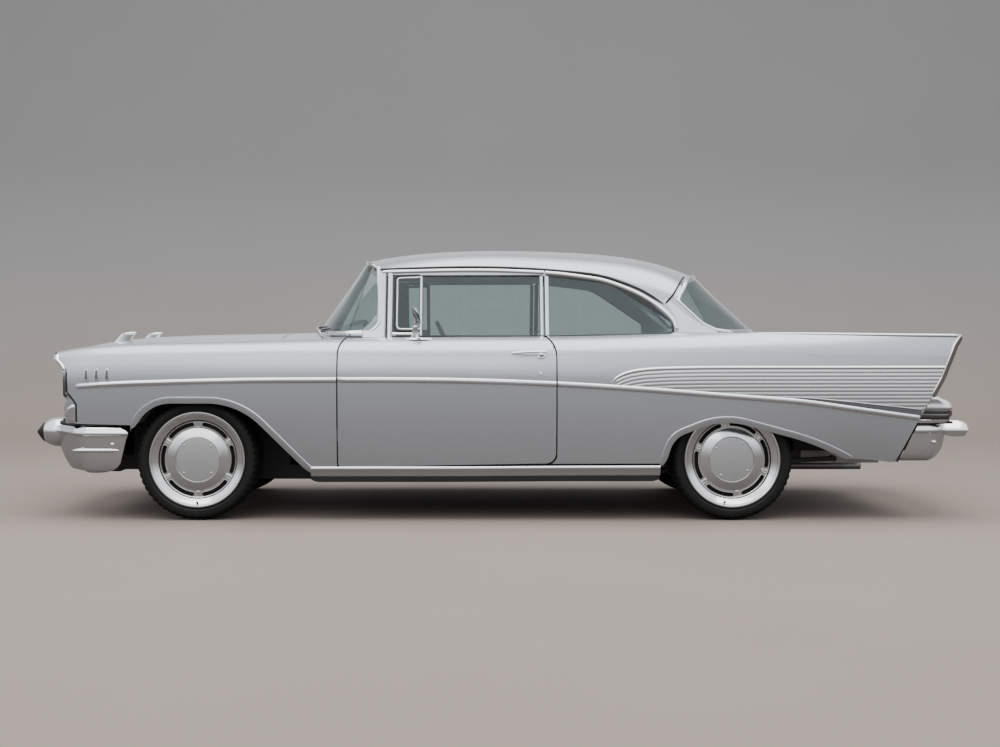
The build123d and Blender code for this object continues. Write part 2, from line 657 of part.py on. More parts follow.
def make_top_panels(nodes):
    """Hood, cowl, roof, rear deck, trunk lid and tail panel."""
    clear = body_volume(-SEAT, SEAT)
    clear = [clear, right_of(clear)]
    fitted = body_volume(SKIN + SEAT, OPEN_BELOW)

    front = crowned(HOOD_ROWS, GAP, PANEL_THICK)
    nodes["hood"] = one("hood", front & box(X_HOOD_FRONT, X_HOOD_REAR, -1000, 1000, 0, 1200))

    top = crowned(HOOD_ROWS, SEAT, PANEL_THICK) & box(X_HOOD_REAR + GAP, XF + 900, -1000, 1000, 0, 1200)
    opening = box(X_DASH_FRONT, XF + 1000, -W_COWL_WING, W_COWL_WING, 0, 1200)
    top = top - opening
    wall = box(X_FIREWALL - FIREWALL_THICK, X_FIREWALL, -W_FLOOR, W_FLOOR, Z_FLOOR_TOP + SEAT, Z_FIREWALL_TOP + 30)
    tunnel = box(X_FIREWALL - 20, X_FIREWALL + 20, -TUNNEL_W, TUNNEL_W, 0, TUNNEL_TOP)
    under = crowned(HOOD_ROWS, SEAT, 900, -1)
    wall = (wall & under) - tunnel - clear[0] - clear[1]
    post = box(X_FIREWALL - FIREWALL_THICK, X_DOOR_FRONT - GAP - 7, -1000, -W_COWL_WING, Z_POST_FOOT, 1100)
    wing = box(X_FIREWALL - FIREWALL_THICK, X_POST, -W_PILLAR_NOTCH + 2 * GAP, -W_COWL_WING, 900, Z_BELT - 5)
    side = (post + wing) & fitted
    top = top - clear[0] - clear[1]
    for z in Z_DOOR_HINGES:
        side = side + box(X_DOOR_FRONT - GAP - 9, X_DOOR_FRONT - SEAT, -W_DOOR_HINGE + 34, -W_DOOR_HINGE + 110, z, z + 60)
    cowl = top + wall + side + right_of(side) + gutter(HOOD_ROWS, X_HOOD_REAR, X_HOOD_REAR + GAP)
    nodes["cowl"] = one("cowl", cowl)

    shell = (roof_volume(0, 0) - roof_volume(ROOF_THICK, 100)) & outline_y(ROOF_OUTLINE, -1000, 1000)
    for block in clear:
        shell = shell - block
    shell = shell - crowned(HOOD_ROWS, -60, 200, SEAT) - crowned(DECK_ROWS, -60, 200, SEAT)
    nodes["roof"] = one("roof", max(solids_of(shell), key=lambda s: s.volume))

    deck = crowned(DECK_ROWS, SEAT, PANEL_THICK) & box(X_DECK_FRONT, X_LID_FRONT - GAP, -1000, 1000, 0, 1200)
    deck = deck + gutter(DECK_ROWS, X_LID_FRONT, X_LID_FRONT - GAP)
    nodes["rear_deck"] = one("rear_deck", deck)
    lid = crowned(DECK_ROWS, GAP, PANEL_THICK) & box(X_LID_FRONT, X_LID_REAR, -1000, 1000, 0, 1200)
    nodes["trunk_lid"] = one("trunk_lid", lid)
    tail = box(X_LID_REAR - 14, X_LID_REAR, -660, 660, 420 + FLOOR_THICK + SEAT, Z_TAIL_TOP)
    for s in (-1, 1):
        tail = tail - rod((X_LID_REAR - 30, s * PLATE_SPACING / 2, Z_PLATE), (X_LID_REAR + 30, s * PLATE_SPACING / 2, Z_PLATE),
                          PLATE_HOLE)
    for block in clear:
        tail = tail - block
    nodes["tail_panel"] = one("tail_panel", tail)


def gutter(rows, x_lid, x_fixed):
    """A drain gutter, joined under a fixed panel's edge at x_fixed, that an opening panel's edge at x_lid closes on."""
    ahead = math.copysign(GUTTER_REACH, x_lid - x_fixed)
    strip = crowned(rows, GUTTER_INSET, GUTTER_THICK, -PANEL_THICK - SEAT)
    strip = strip & box(x_lid + ahead, x_fixed - ahead, -1000, 1000, 0, 1200)
    joint = crowned(rows, GUTTER_INSET, GUTTER_THICK, -PANEL_THICK + 2)
    return strip + (joint & box(x_fixed - math.copysign(1, ahead), x_fixed - ahead, -1000, 1000, 0, 1200))


# ---- underside and chassis ----
def make_chassis(nodes):
    tunnel_out = box(X_FIREWALL, XR - 420, -TUNNEL_W, TUNNEL_W, 255, TUNNEL_TOP)
    tunnel_in = box(X_FIREWALL - 50, XR - 330, -TUNNEL_W + FLOOR_THICK, TUNNEL_W - FLOOR_THICK, 0,
                    TUNNEL_TOP - FLOOR_THICK)
    pan = prism_y(band(FLOOR, FLOOR_THICK), [0] * (2 * len(FLOOR)), -W_FLOOR + SEAT, W_FLOOR - SEAT)
    narrow = [box(XR - 442, X_TAIL, s * W_TUB, s * 900, 0, 1200) for s in (-1, 1)]
    nodes["floor_pan"] = one("floor_pan", pan + tunnel_out - tunnel_in - narrow[0] - narrow[1])

    rail_line = [(x, z - SEAT - RAIL_HEIGHT) for x, z in FLOOR]
    rail = prism_y(band(rail_line, RAIL_HEIGHT), [0] * (2 * len(FLOOR)), -RAIL_OUTER, -RAIL_INNER)
    front_line = [(X_FRAME_FRONT, Z_RAIL + HORN_RISE), (HORN_BEND[0], Z_RAIL + HORN_RISE), (HORN_BEND[1], Z_RAIL),
                  (X_FIREWALL - 20, Z_RAIL)]
    front = prism_y(band(front_line, FRONT_RAIL_TOP - Z_RAIL), [0] * 8, -FRONT_RAIL_OUTER, -FRONT_RAIL_INNER)
    frame = rail + front + right_of(rail) + right_of(front)
    for x0, w, z0, z1 in CROSSMEMBERS:
        frame = frame + box(x0, x0 + 60, -w, w, z0, z1)
    nodes["chassis_frame"] = one("frame", frame)

    bar = box(XF - 60, XF + 60, -FRONT_RAIL_OUTER, FRONT_RAIL_OUTER, FRONT_RAIL_TOP + SEAT, 300)
    for s in (-1, 1):
        bar = bar + box(XF - 45, XF + 45, s * 385, s * FRONT_RAIL_OUTER, 290, 456)
        bar = bar + arm_plate(s, FRONT_RAIL_OUTER - 5, 440, 456)
    lower = [arm_plate(s, FRONT_RAIL_OUTER + SEAT, 200, 220) for s in (-1, 1)]
    nodes["front_suspension"] = Compound(children=[*solids_of(bar), *[q for a in lower for q in solids_of(a)]])

    axle = rod((XR, -600, Z_AXLE), (XR, 600, Z_AXLE), 38)
    axle = axle + rod((XR, -Y_WHEEL - 30, Z_AXLE), (XR, Y_WHEEL + 30, Z_AXLE), SPINDLE)
    axle = axle + Pos(XR, 0, Z_AXLE) * Sphere(110)
    axle = axle + rod((XR - 560 - 1330, 0, Z_AXLE), (XR, 0, Z_AXLE), 36)
    for s in (-1, 1):
        axle = axle + ring_y(XR, Z_AXLE, 140, 30, *sorted((s * 600, s * 655)))
        spring = prism_y(band([(XR - 560, 205), (XR, 268), (XR + 620, 300)], 22), [0] * 6,
                         *sorted((s * (RAIL_OUTER + 12), s * 590)))
        axle = axle + spring
        for x, z in ((XR - 550, 217), (XR + 610, 311)):
            axle = axle + rod((x, s * (RAIL_OUTER + SEAT), z), (x, s * 590, z), 16)
    nodes["rear_axle"] = one("rear_axle", axle)

    pipe = rod((XF + 500, 300, 196), (XR + 990, 300, 196), 24)
    muffler = box(XR - 1000, XR - 540, 215, 405, 172, 255 - SEAT)
    nodes["exhaust"] = one("exhaust", pipe + muffler)
    nodes["fuel_tank"] = box(XR + 460, XR + 900, -RAIL_INNER + 12, RAIL_INNER - 180, 276, 420 - SEAT)
    block = box(XF - 220, XF + 400, -250, 250, 300 + SEAT, 830)
    gearbox = box(XF + 390, XF + 990, -130, 130, 262, 362)
    nodes["engine_block"] = one("engine", block + gearbox)
    nodes["radiator"] = box(XF - 560, XF - 510, -310, 310, 255 + SEAT, 850)


def arm_plate(side, w_in, z0, z1):
    """A wishbone: a plate that narrows from the frame out to its ball joint."""
    w_out = Y_KINGPIN + 22
    corners = [(XF - 95, w_in), (XF + 95, w_in), (XF + 28, w_out), (XF - 28, w_out)]
    wire = Wire([Edge.make_line(Vector(corners[i - 1][0], side * corners[i - 1][1], z0),
                                Vector(corners[i][0], side * corners[i][1], z0)) for i in range(4)])
    return extrude(Face(wire), amount=z1 - z0, dir=(0, 0, 1))


def make_housings(nodes):
    """Round wheel housings inside the fenders and quarters, with the inner aprons of the engine bay."""
    fitted = body_volume(SKIN + SEAT, OPEN_BELOW)
    front = ring_y(XF, Z_AXLE, HOUSING_RADIUS + HOUSING_THICK, HOUSING_RADIUS, -1000, -W_HOUSING_FRONT)
    front = front & prism_y([(XF - 330, 430), (XF - 500, 900), (XF + 600, 900), (XF + 600, 300), (XF, 327)],
                            [0] * 5, -1000, 0)
    front = front - left_of(FRONT_ARCH)
    apron = box(XF - 520, X_FIREWALL - FIREWALL_THICK - SEAT, -W_APRON, -W_APRON + 6, 690, 1000)
    front = (front + apron) & fitted
    rear = ring_y(XR, Z_AXLE, REAR_HOUSING_RADIUS + HOUSING_THICK, REAR_HOUSING_RADIUS, -1000, -W_TUB - SEAT)
    disc = Solid.make_cylinder(REAR_HOUSING_RADIUS + HOUSING_THICK, HOUSING_THICK,
                               Plane(origin=(XR, -W_TUB - SEAT - HOUSING_THICK, Z_AXLE), z_dir=(0, 1, 0)))
    spring_room = box(XR - 500, XR + 500, -700, 0, 0, 470)
    rear = ((rear + disc - spring_room) & box(XR - 500, XR + 500, -1000, 0, 330, 900)) & fitted
    rear = rear - left_of(REAR_ARCH)
    nodes["front_housings"] = both(one("front_housing", front))
    nodes["rear_housings"] = both(one("rear_housing", rear))


# ---- wheels ----
def revolve_y(points, x, y, z, side):
    """A wheel section of (reach outboard, radius) points turned about the axle line.
    side is -1 on the left and +1 on the right."""
    wire = Wire([Edge.make_line(Vector(x, y + side * a, z + r), Vector(x, y + side * b, z + q))
                 for (a, r), (b, q) in zip(points, points[1:] + points[:1])])
    return Solid.revolve(Face(wire), 360, Axis((x, y, z), (0, 1, 0)))


def make_wheel(nodes, name, x, side):
    y = side * Y_WHEEL
    wheel = revolve_y(WHEEL_SECTION, x, y, Z_AXLE, side)
    slots = ring_y(x, Z_AXLE, SLOT_OUTER, SLOT_INNER, *sorted(y + side * reach for reach in SLOT_REACH))
    for i in range(SLOTS):
        spoke = Pos(x, y + side * 65, Z_AXLE) * Rot(0, 90 + i * 360 / SLOTS, 0)
        slots = slots - spoke * Pos(SLOT_OUTER, 0, 0) * Box(80, 90, SPOKE_WIDTH)
    wheel = wheel - slots
    nodes["wheel_" + name] = one("wheel", wheel)
    nodes["tyre_" + name] = one("tyre", revolve_y(TYRE_SECTION, x, y, Z_AXLE, side))


def make_knuckle(nodes, name, side):
    y = side * Y_KINGPIN
    upright = box(XF - 30, XF + 30, y - 14, y + 14, 226, 434)
    pin = rod((XF, y, 220 + SEAT), (XF, y, 440 - SEAT), 11)
    spindle = rod((XF, y, Z_AXLE), (XF, side * (Y_WHEEL + 30), Z_AXLE), SPINDLE)
    nodes["knuckle_" + name] = one("knuckle", upright + pin + spindle)


# ---- lamps, grille and bumpers ----
def plan_band(points, radii, thick_points, z0, z1):
    """A bumper's plan outline, right round its outer and inner faces, as a block from z0 to z1."""
    ring = points + thick_points
    face = rounded_face(ring, radii)
    return extrude(Pos(0, 0, z0) * face, amount=z1 - z0, dir=(0, 0, 1))


def make_front(nodes):
    w, t = W_BUMPER, BUMPER_THICK
    x_front, x_corner, x_end = X_BUMPER_FRONT, XF - 640, XF - 352
    outer = [(x_end, -w), (x_corner, -w), (x_front, -560), (x_front - 20, 0), (x_front, 560), (x_corner, w), (x_end, w)]
    inner = [(x_end, w - t), (x_corner + t, w - t), (x_front + t, 560 - t), (x_front + t - 20, 0),
             (x_front + t, -560 + t), (x_corner + t, -w + t), (x_end, -w + t)]
    bar = plan_band(outer, [0, 130, 260, 900, 260, 130, 0, 0, 90, 220, 900, 220, 90, 0], inner, 200, 600)
    bar = bar & outline_y(BUMPER_FRONT_OUTLINE, -1000, 1000)
    for s in (-1, 1):
        for (x0, r0), (x1, r1) in zip(BULLET, BULLET[1:]):
            plane = Plane(origin=(x0, s * Y_BULLET, Z_BULLET), z_dir=(-1, 0, 0))
            bar = bar + (Solid.make_cylinder(r0, x0 - x1, plane) if r0 == r1 else
                         Solid.make_cone(r0, r1, x0 - x1, plane))
        z_iron = Z_RAIL + HORN_RISE
        bar = bar + box(x_front + 10, X_FRAME_FRONT - SEAT, s * 375, s * 435, z_iron, z_iron + 62)
        bar = bar + box(x_front + 5, x_front + 40, s * 375, s * 435, z_iron, 430)
    nodes["front_bumper"] = one("front_bumper", bar)

    nodes["headlamps"] = both(one("headlamp", headlamp()))

    w_grille, (low, high) = 570 - SEAT, Z_GRILLE
    grille = box(X_GRILLE, X_GRILLE + 20, -w_grille, w_grille, low, low + 10)
    for i in range(12):
        z = low + i * (high - low) / 11.25
        grille = grille + box(X_GRILLE, X_GRILLE + 20, -w_grille, w_grille, z, z + 8)
    for i in range(7):
        y = -w_grille + i * (2 * w_grille - 12) / 6
        grille = grille + box(X_GRILLE + 7, X_GRILLE + 23, y, y + 12, low, high)
    grille = grille + rod((X_GRILLE - 6, -w_grille, Z_GRILLE_BAR), (X_GRILLE - 6, w_grille, Z_GRILLE_BAR),
                          GRILLE_BAR_RADIUS)
    for s in (-1, 1):
        y = s * Y_PARKING_LAMP
        grille = grille + rod((X_GRILLE - 46, y, Z_GRILLE_BAR), (X_GRILLE + 5, y, Z_GRILLE_BAR), PARKING_LAMP_RADIUS)
        grille = grille + box(X_GRILLE + 7, X_LAMP_BACK - 14 - SEAT, *sorted((s * 550, s * w_grille)), *GRILLE_FOOT)
    nodes["grille"] = one("grille", grille)


def headlamp():
    """The left headlamp: a hood that carries the fender's surface forward, its backing plate, and a
    domed lamp in a round rim."""
    edge = [(x - GAP / 2, z) for x, z, _ in FENDER_OUTLINE[1:5]]
    outline = prism_y([*LAMP_FRONT, *edge], [0] * (len(LAMP_FRONT) + len(edge)), -1200, -W_FLOOR + 190)
    hood = (body_volume() - body_volume(LAMP_HOOD_THICK, OPEN_BELOW)) & outline
    backing = body_volume(SKIN + SEAT) & box(X_LAMP_BACK - 14, X_LAMP_BACK, -900, -572, 540, 884)
    backing = backing + box(X_LAMP_BACK - 14, X_LAMP_BACK, -700, -550, *GRILLE_FOOT)
    hood = max(solids_of(hood), key=lambda s: s.volume)
    reach = HEADLAMP_RADIUS + HEADLAMP_RIM
    lamp = rod((XF - 726, -Y_HEADLAMP, Z_HEADLAMP), (X_LAMP_BACK, -Y_HEADLAMP, Z_HEADLAMP), reach)
    glass = Solid.make_cone(HEADLAMP_RADIUS, HEADLAMP_RADIUS / 2, HEADLAMP_DOME,
                            Plane(origin=(XF - 726, -Y_HEADLAMP, Z_HEADLAMP), z_dir=(-1, 0, 0)))
    return hood + backing + (lamp & body_volume(SKIN / 2)) + glass


def make_rear(nodes):
    w, t = W_BUMPER_REAR, BUMPER_THICK
    x_rear, x_bend, x_corner, x_end = X_TAIL - 40, X_TAIL - 92, XR + 1110, XR + 890
    outer = [(x_end, w), (x_corner, w), (x_bend, 640), (x_rear, 0), (x_bend, -640), (x_corner, -w), (x_end, -w)]
    inner = [(x_end, -w + t), (x_corner - t, -w + t), (x_bend - t, -640 + t), (x_rear - t, 0),
             (x_bend - t, 640 - t), (x_corner - t, w - t), (x_end, w - t)]
    bar = plan_band(outer, [0, 110, 200, 2000, 200, 110, 0, 0, 80, 160, 2000, 160, 80, 0], inner, 200, 600)
    bar = bar & outline_y(BUMPER_REAR_OUTLINE, -1000, 1000)
    for s in (-1, 1):
        bar = bar + box(XR + 1068 + SEAT, x_bend - 15, s * (RAIL_INNER + 5), s * (RAIL_OUTER - 5), 355, 415)
        bar = bar + outline_y(GUARD_OUTLINE, *sorted(s * y for y in Y_GUARD))
    nodes["rear_bumper"] = one("rear_bumper", bar)

    low, high = TAIL_LAMP[0][1], TAIL_LAMP[-1][1]
    pod = [*TAIL_LAMP, (tail_edge(high) + SEAT, high, 0), (tail_edge(low) + SEAT, low, 0)]
    pod = outline_y(pod, -1200, -W_TAIL_LAMP)
    nodes["tail_lamps"] = both(one("tail_lamp", body_volume() & pod))


# ---- cabin ----
def make_cabin(nodes):
    dash = prism_y([(X_FIREWALL + SEAT, Z_DASH_TOP), (XF + 900, Z_DASH_TOP), (XF + 985, 925), (XF + 985, 830),
                    (XF + 930, 770), (X_FIREWALL + SEAT, 790)], [0, 60, 40, 25, 25, 0], -W_DASH, W_DASH)
    for s in (-1, 1):
        inner, outer = s * (W_COWL_WING - SEAT), s * 1000
        dash = dash - box(X_FIREWALL, XF + 1100, inner, outer, 900 - SEAT, 1100)
        dash = dash - box(X_FIREWALL - 10, X_DOOR_FRONT - GAP - 7 + SEAT, inner, outer, 200, 1100)
    nodes["dashboard"] = one("dash", dash)

    tunnel_room = box(-2000, 2000, -TUNNEL_W - 2, TUNNEL_W + 2, 0, TUNNEL_TOP + SEAT)
    cushion = prism_y([(XF + 1370, 400), (XF + 1355, 560), (XF + 1800, 530), (XF + 1830, 400)],
                      [30, 50, 30, 20], -W_SEAT, W_SEAT)
    back = prism_y([(XF + 1735, 450), (XF + 1815, 1018), (XF + 1915, 1022), (XF + 1880, 450)],
                   [20, 45, 45, 20], -W_SEAT, W_SEAT)
    stand = box(XF + 1420, XF + 1780, -W_SEAT + 40, W_SEAT - 40, Z_FLOOR_TOP + SEAT, 420) - tunnel_room
    nodes["front_seat"] = one("front_seat", cushion + back + stand)
    cushion = prism_y([(XR - 700, Z_FLOOR_TOP + SEAT), (XR - 690, 548), (XR - 250, 535), (XR - 250, 508 + SEAT),
                       (XR - 320, 508 + SEAT), (XR - 455, Z_FLOOR_TOP + SEAT)],
                      [20, 50, 10, 0, 0, 0], -W_SEAT_REAR, W_SEAT_REAR)
    back = prism_y([(XR - 300, 520), (XR - 205, 975), (XR - 75, 975), (XR - 110, 508 + SEAT)],
                   [20, 45, 20, 0], -W_SEAT_REAR, W_SEAT_REAR)
    nodes["rear_seat"] = one("rear_seat", (cushion - tunnel_room) + back)

    tip = Vector(*WHEEL_HUB)
    slope = math.radians(COLUMN_SLOPE)
    down = Vector(-math.cos(slope), 0, -math.sin(slope))
    start = tip + down * 56.5
    column = Solid.make_cylinder(26, 900, Plane(origin=start, z_dir=down))
    nodes["steering_column"] = column & box(X_FIREWALL + SEAT, X_TAIL, -1000, 1000, 0, 1200)
    plane = Plane(origin=tip, z_dir=down)
    rim = Solid.make_torus(STEERING_WHEEL_RADIUS, 11, plane)
    hub = Solid.make_cylinder(34, 56, plane)
    wheel = rim + hub
    for s in (-1, 1):
        wheel = wheel + rod(tip + down * 20, tip + Vector(0, s * STEERING_WHEEL_RADIUS, 0), 9)
    nodes["steering_wheel"] = one("steering_wheel", wheel)

    base = Pos(XF + 1194, -826, 975) * Box(120, 44, 34)
    arm = rod((XF + 1194, -826, 985), (XF + 1168, -842, 1096), 9)
    head = Solid.make_cylinder(56, 42, Plane(origin=(XF + 1160, -848, 1110), z_dir=(1, 0, 0)))
    mirror = (base + arm + head) - body_volume(-SEAT, SEAT)
    nodes["mirror"] = one("mirror", max(solids_of(mirror), key=lambda s: s.volume))


def make_car():
    nodes = {}
    make_side_panels(nodes)
    make_glass(nodes)
    make_top_panels(nodes)
    make_chassis(nodes)
    make_housings(nodes)
    make_front(nodes)
    make_rear(nodes)
    make_cabin(nodes)
    for x, end in ((XF, "front"), (XR, "rear")):
        for side, hand in ((-1, "left"), (1, "right")):
            make_wheel(nodes, f"{end}_{hand}", x, side)
    make_knuckle(nodes, "left", -1)
    make_knuckle(nodes, "right", 1)
    return nodes


def main():
    os.makedirs("parts", exist_ok=True)
    for name, shape in make_car().items():
        export_step(shape, f"parts/{name}.step")


main()
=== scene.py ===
"""A two-door hardtop coupe of the late 1950s, dressed around its CAD frame.

Metres throughout: X runs rearwards, Y to the car's right, Z up, and left-hand pieces lie at negative Y.
Tables that the part's source shares are in millimetres, and are scaled where they are read.
"""
import json
import math

import bmesh
import bpy
import numpy as np
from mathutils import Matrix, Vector


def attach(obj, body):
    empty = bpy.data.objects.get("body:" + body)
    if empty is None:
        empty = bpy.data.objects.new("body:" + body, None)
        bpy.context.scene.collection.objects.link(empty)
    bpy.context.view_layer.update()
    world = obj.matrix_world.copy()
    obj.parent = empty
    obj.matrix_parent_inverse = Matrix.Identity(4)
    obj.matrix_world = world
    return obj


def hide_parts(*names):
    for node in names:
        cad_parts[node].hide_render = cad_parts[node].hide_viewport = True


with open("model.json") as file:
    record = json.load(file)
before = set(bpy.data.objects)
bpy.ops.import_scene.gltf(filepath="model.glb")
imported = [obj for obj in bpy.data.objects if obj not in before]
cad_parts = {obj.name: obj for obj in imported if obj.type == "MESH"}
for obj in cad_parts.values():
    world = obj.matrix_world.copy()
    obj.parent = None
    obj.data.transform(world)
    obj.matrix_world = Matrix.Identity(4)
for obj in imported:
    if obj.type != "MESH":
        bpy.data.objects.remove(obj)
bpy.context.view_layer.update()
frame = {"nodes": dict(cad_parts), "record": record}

# ---- sizes shared with the part's source, in millimetres ----
MM = 0.001
XF = -1618.0                # front axle
XR = 1262.0                 # rear axle
Z_AXLE = 327.0
Y_WHEEL = 735.0
X_DOOR_FRONT = XF + 763.0
X_DOOR_REAR = XF + 1928.0
GAP = 7.0                   # shut line between two panels
W_BELT, W_DRIP = 752.0, 626.0   # half-width of the side glass at the belt, and at the drip rail
Z_BELT, HOUSE_RISE = 980.0, 380.0
SIDES = ((-1, "left"), (1, "right"))
# x, then height and half-width of the bottom edge, widest line, shoulder, outer top edge and inner edge
BODY_SIDE = np.array([
    (XF - 790, 480, 832, 735, 850, 858, 828, 901, 768, 886, 597, 926),
    (XF - 560, 470, 868, 738, 886, 872, 866, 938, 785, 938, 612, 968),
    (XF, 430, 892, 745, 920, 886, 899, 960, 798, 968, 648, 1000),
    (XF + 618, 290, 884, 756, 934, 898, 908, 975, 796, 982, 690, 1014),
    (XF + 1320, 215, 880, 757, 938, 903, 909, 988, 786, 988, 700, 1016),
    (XF + 2020, 215, 880, 744, 938, 904, 909, 992, 788, 990, 692, 1020),
    (XR - 260, 225, 882, 728, 937, 906, 911, 1006, 812, 1000, 668, 1028),
    (XR + 340, 315, 878, 705, 932, 902, 912, 1009, 848, 972, 644, 1000),
    (XR + 840, 315, 862, 690, 918, 892, 902, 1004, 862, 888, 636, 914),
    (XR + 1240, 315, 848, 680, 900, 884, 890, 1000, 862, 800, 630, 826)])
FRONT_ARCH = [(XF - 357, 420, 0), (XF - 355, 656, 225), (XF + 239, 656, 420), (XF + 600, 295, 60),
              (XF + 700, 230, 0)]
REAR_ARCH = [(XR - 392, 300, 0), (XR - 342, 464, 150), (XR - 66, 574, 406), (XR + 430, 440, 1500),
             (XR + 640, 338, 0)]
SPEAR = [(XF - 645, 721), (XF - 503, 731), (XF - 237, 742), (XF + 296, 755), (XF + 562, 757),
         (XF + 1362, 755), (XF + 1927, 736), (XR - 453, 705), (XR + 80, 663), (XR + 347, 642),
         (XR + 613, 606), (XR + 992, 554)]


# ---- curves and grids ----
def spline(knots, values, at):
    """Values at any place by a natural cubic: piece k is a0 + a1 t + a2 t^2 + a3 t^3, t from its knot."""
    knots, values, at = (np.asarray(a, float) for a in (knots, values, at))
    n, h = len(knots), np.diff(knots)
    slope = np.diff(values, axis=0) / h[:, None]
    system = np.eye(n)
    i = np.arange(1, n - 1)
    system[i, i - 1], system[i, i], system[i, i + 1] = h[:-1], 2 * (h[:-1] + h[1:]), h[1:]
    bend = np.linalg.solve(system, np.vstack([0 * slope[:1], 6 * np.diff(slope, axis=0), 0 * slope[:1]]))
    k = np.clip(np.searchsorted(knots, at) - 1, 0, n - 2)
    t, hk = (at - knots[k])[..., None], h[k][..., None]
    a1 = slope[k] - hk * (2 * bend[k] + bend[k + 1]) / 6
    return values[k] + t * (a1 + t * (bend[k] / 2 + t * (bend[k + 1] - bend[k]) / (6 * hk)))


def distance_along(points):
    """The distance from a path's start to each of its points."""
    return np.concatenate([[0], np.cumsum(np.linalg.norm(np.diff(points, axis=0), axis=1))])


def through(points, count):
    """A smooth path of count points through a few given ones, by a natural cubic over their chord length."""
    points = np.asarray(points, float)
    run = distance_along(points)
    return spline(run, points, np.linspace(0, run[-1], count))


def along(points, step):
    """A path's points set again at even steps along its straight runs."""
    points = np.asarray(points, float)
    run = distance_along(points)
    s = np.linspace(0, run[-1], max(2, int(run[-1] / step) + 1))
    return np.stack([np.interp(s, run, points[:, k]) for k in range(points.shape[1])], 1)


def rounded(corners, closed=False, arc=7):
    """A line of (x, z, radius) corners with each corner turned by an arc of its radius."""
    pts = [np.array(c[:2], float) for c in corners]
    line = []
    for i, (p, (*_, r)) in enumerate(zip(pts, corners)):
        if r <= 0 or (not closed and i in (0, len(pts) - 1)):
            line.append(p[None])
            continue
        u, v = pts[i - 1] - p, pts[(i + 1) % len(pts)] - p
        u, v = u / np.linalg.norm(u), v / np.linalg.norm(v)
        half = math.acos(np.clip(u @ v, -1, 1)) / 2
        middle = p + (u + v) / np.linalg.norm(u + v) * r / math.sin(half)
        a, b = p + u * r / math.tan(half) - middle, p + v * r / math.tan(half) - middle
        turn = math.atan2(a[0] * b[1] - a[1] * b[0], a @ b)
        k = np.linspace(0, turn, arc)[:, None]
        line.append(middle + a * np.cos(k) + np.array([-a[1], a[0]]) * np.sin(k))
    return np.concatenate(line)


def rounded_box(a, b, corner, arc):
    """A closed rectangle of half-sizes a and b with rounded corners."""
    return rounded([(-a, -b, corner), (a, -b, corner), (a, b, corner), (-a, b, corner)], True, arc)


def unit(v):
    """Vectors scaled to length one."""
    return v / np.linalg.norm(v, axis=-1, keepdims=True)


def lifted(loop, height):
    """A flat loop of points with their third number."""
    return np.concatenate([loop, np.full((len(loop), 1), float(height))], 1)


def cols(*parts):
    """Numbers or arrays side by side, as the coordinates of points."""
    return np.stack(np.broadcast_arrays(*parts), -1)


def grid_faces(n, m, wrap_u=False, wrap_v=True):
    """The quads of a grid of n rows of m points."""
    a, b = np.meshgrid(np.arange(n if wrap_u else n - 1), np.arange(m if wrap_v else m - 1), indexing="ij")
    a2, b2 = (a + 1) % n, (b + 1) % m
    return np.stack([a * m + b, a2 * m + b, a2 * m + b2, a * m + b2], -1).reshape(-1, 4).tolist()


def loft(grid, ring=False):
    """A closed skin over closed loops, grid[i, j] being point j of loop i: capped at both ends, or a ring."""
    n, m = grid.shape[:2]
    caps = [] if ring else [list(range(m)), list(range((n - 1) * m, n * m))]
    return grid.reshape(-1, 3), grid_faces(n, m, ring) + caps


def slab(face, back):
    """A sheet with thickness: the face grid, the back grid, and the rim that joins them."""
    return loft(np.concatenate([face, back[:, ::-1]], 1))


def sweep(path, section, out, scale=1.0, ring=False):
    """A closed section carried along a path: each loop is the path's point plus the section's first number
    across the path and its second number in the direction out."""
    path = np.asarray(path, float)
    ahead = np.roll(path, -1, 0) - np.roll(path, 1, 0) if ring else np.gradient(path, axis=0)
    t = unit(ahead)
    out = np.broadcast_to(np.asarray(out, float), path.shape)
    out = unit(out - (out * t).sum(1, keepdims=True) * t)
    across = np.cross(out, t)
    s = np.asarray(section, float)[None] * np.asarray(scale, float).reshape(-1, 1, 1)
    return loft(path[:, None] + across[:, None] * s[..., :1] + out[:, None] * s[..., 1:], ring)


def revolve(profile, centre, axis, turns=96):
    """A closed profile of (reach along the axis, radius) points turned about the axis through centre."""
    axis = unit(np.asarray(axis, float))
    side = unit(np.cross(axis, (0.3, 0.2, 0.9)))
    k = np.linspace(0, 2 * math.pi, turns, endpoint=False)[:, None, None]
    reach, radius = np.asarray(profile, float).T
    spoke = np.cos(k) * side + np.sin(k) * np.cross(axis, side)
    return loft(np.asarray(centre, float) + reach[None, :, None] * axis + radius[None, :, None] * spoke, True)


def join(*shapes):
    """Several (points, faces) shapes as one."""
    faces, start = [], 0
    for points, own in shapes:
        faces += [[i + start for i in f] for f in own]
        start += len(points)
    return np.concatenate([p for p, _ in shapes]), faces


def mirrored(shape, side):
    """A left-hand shape as it is (side -1), or its mirror image on the right (side 1)."""
    points, faces = shape
    return (points * (1, -side, 1), faces)


def oval(width, height, count=20, power=2.0):
    """A closed superellipse of points: power 2 is an ellipse, and more is squarer."""
    k = np.linspace(0, 2 * math.pi, count, endpoint=False)
    c, s = np.cos(k), np.sin(k)
    return cols(np.sign(c) * np.abs(c) ** (2 / power) * width / 2,
                np.sign(s) * np.abs(s) ** (2 / power) * height / 2)


def dome_section(width, proud, sunk, edge=0.25, count=9, power=2.4):
    """The closed section of a moulding: a crowned face from its edge height to proud, and a flat back."""
    s = np.linspace(-1, 1, count)
    face = proud * (edge + (1 - edge) * (1 - np.abs(s) ** power))
    return np.concatenate([cols(s * width / 2, face), [(width / 2, -sunk), (-width / 2, -sunk)]])


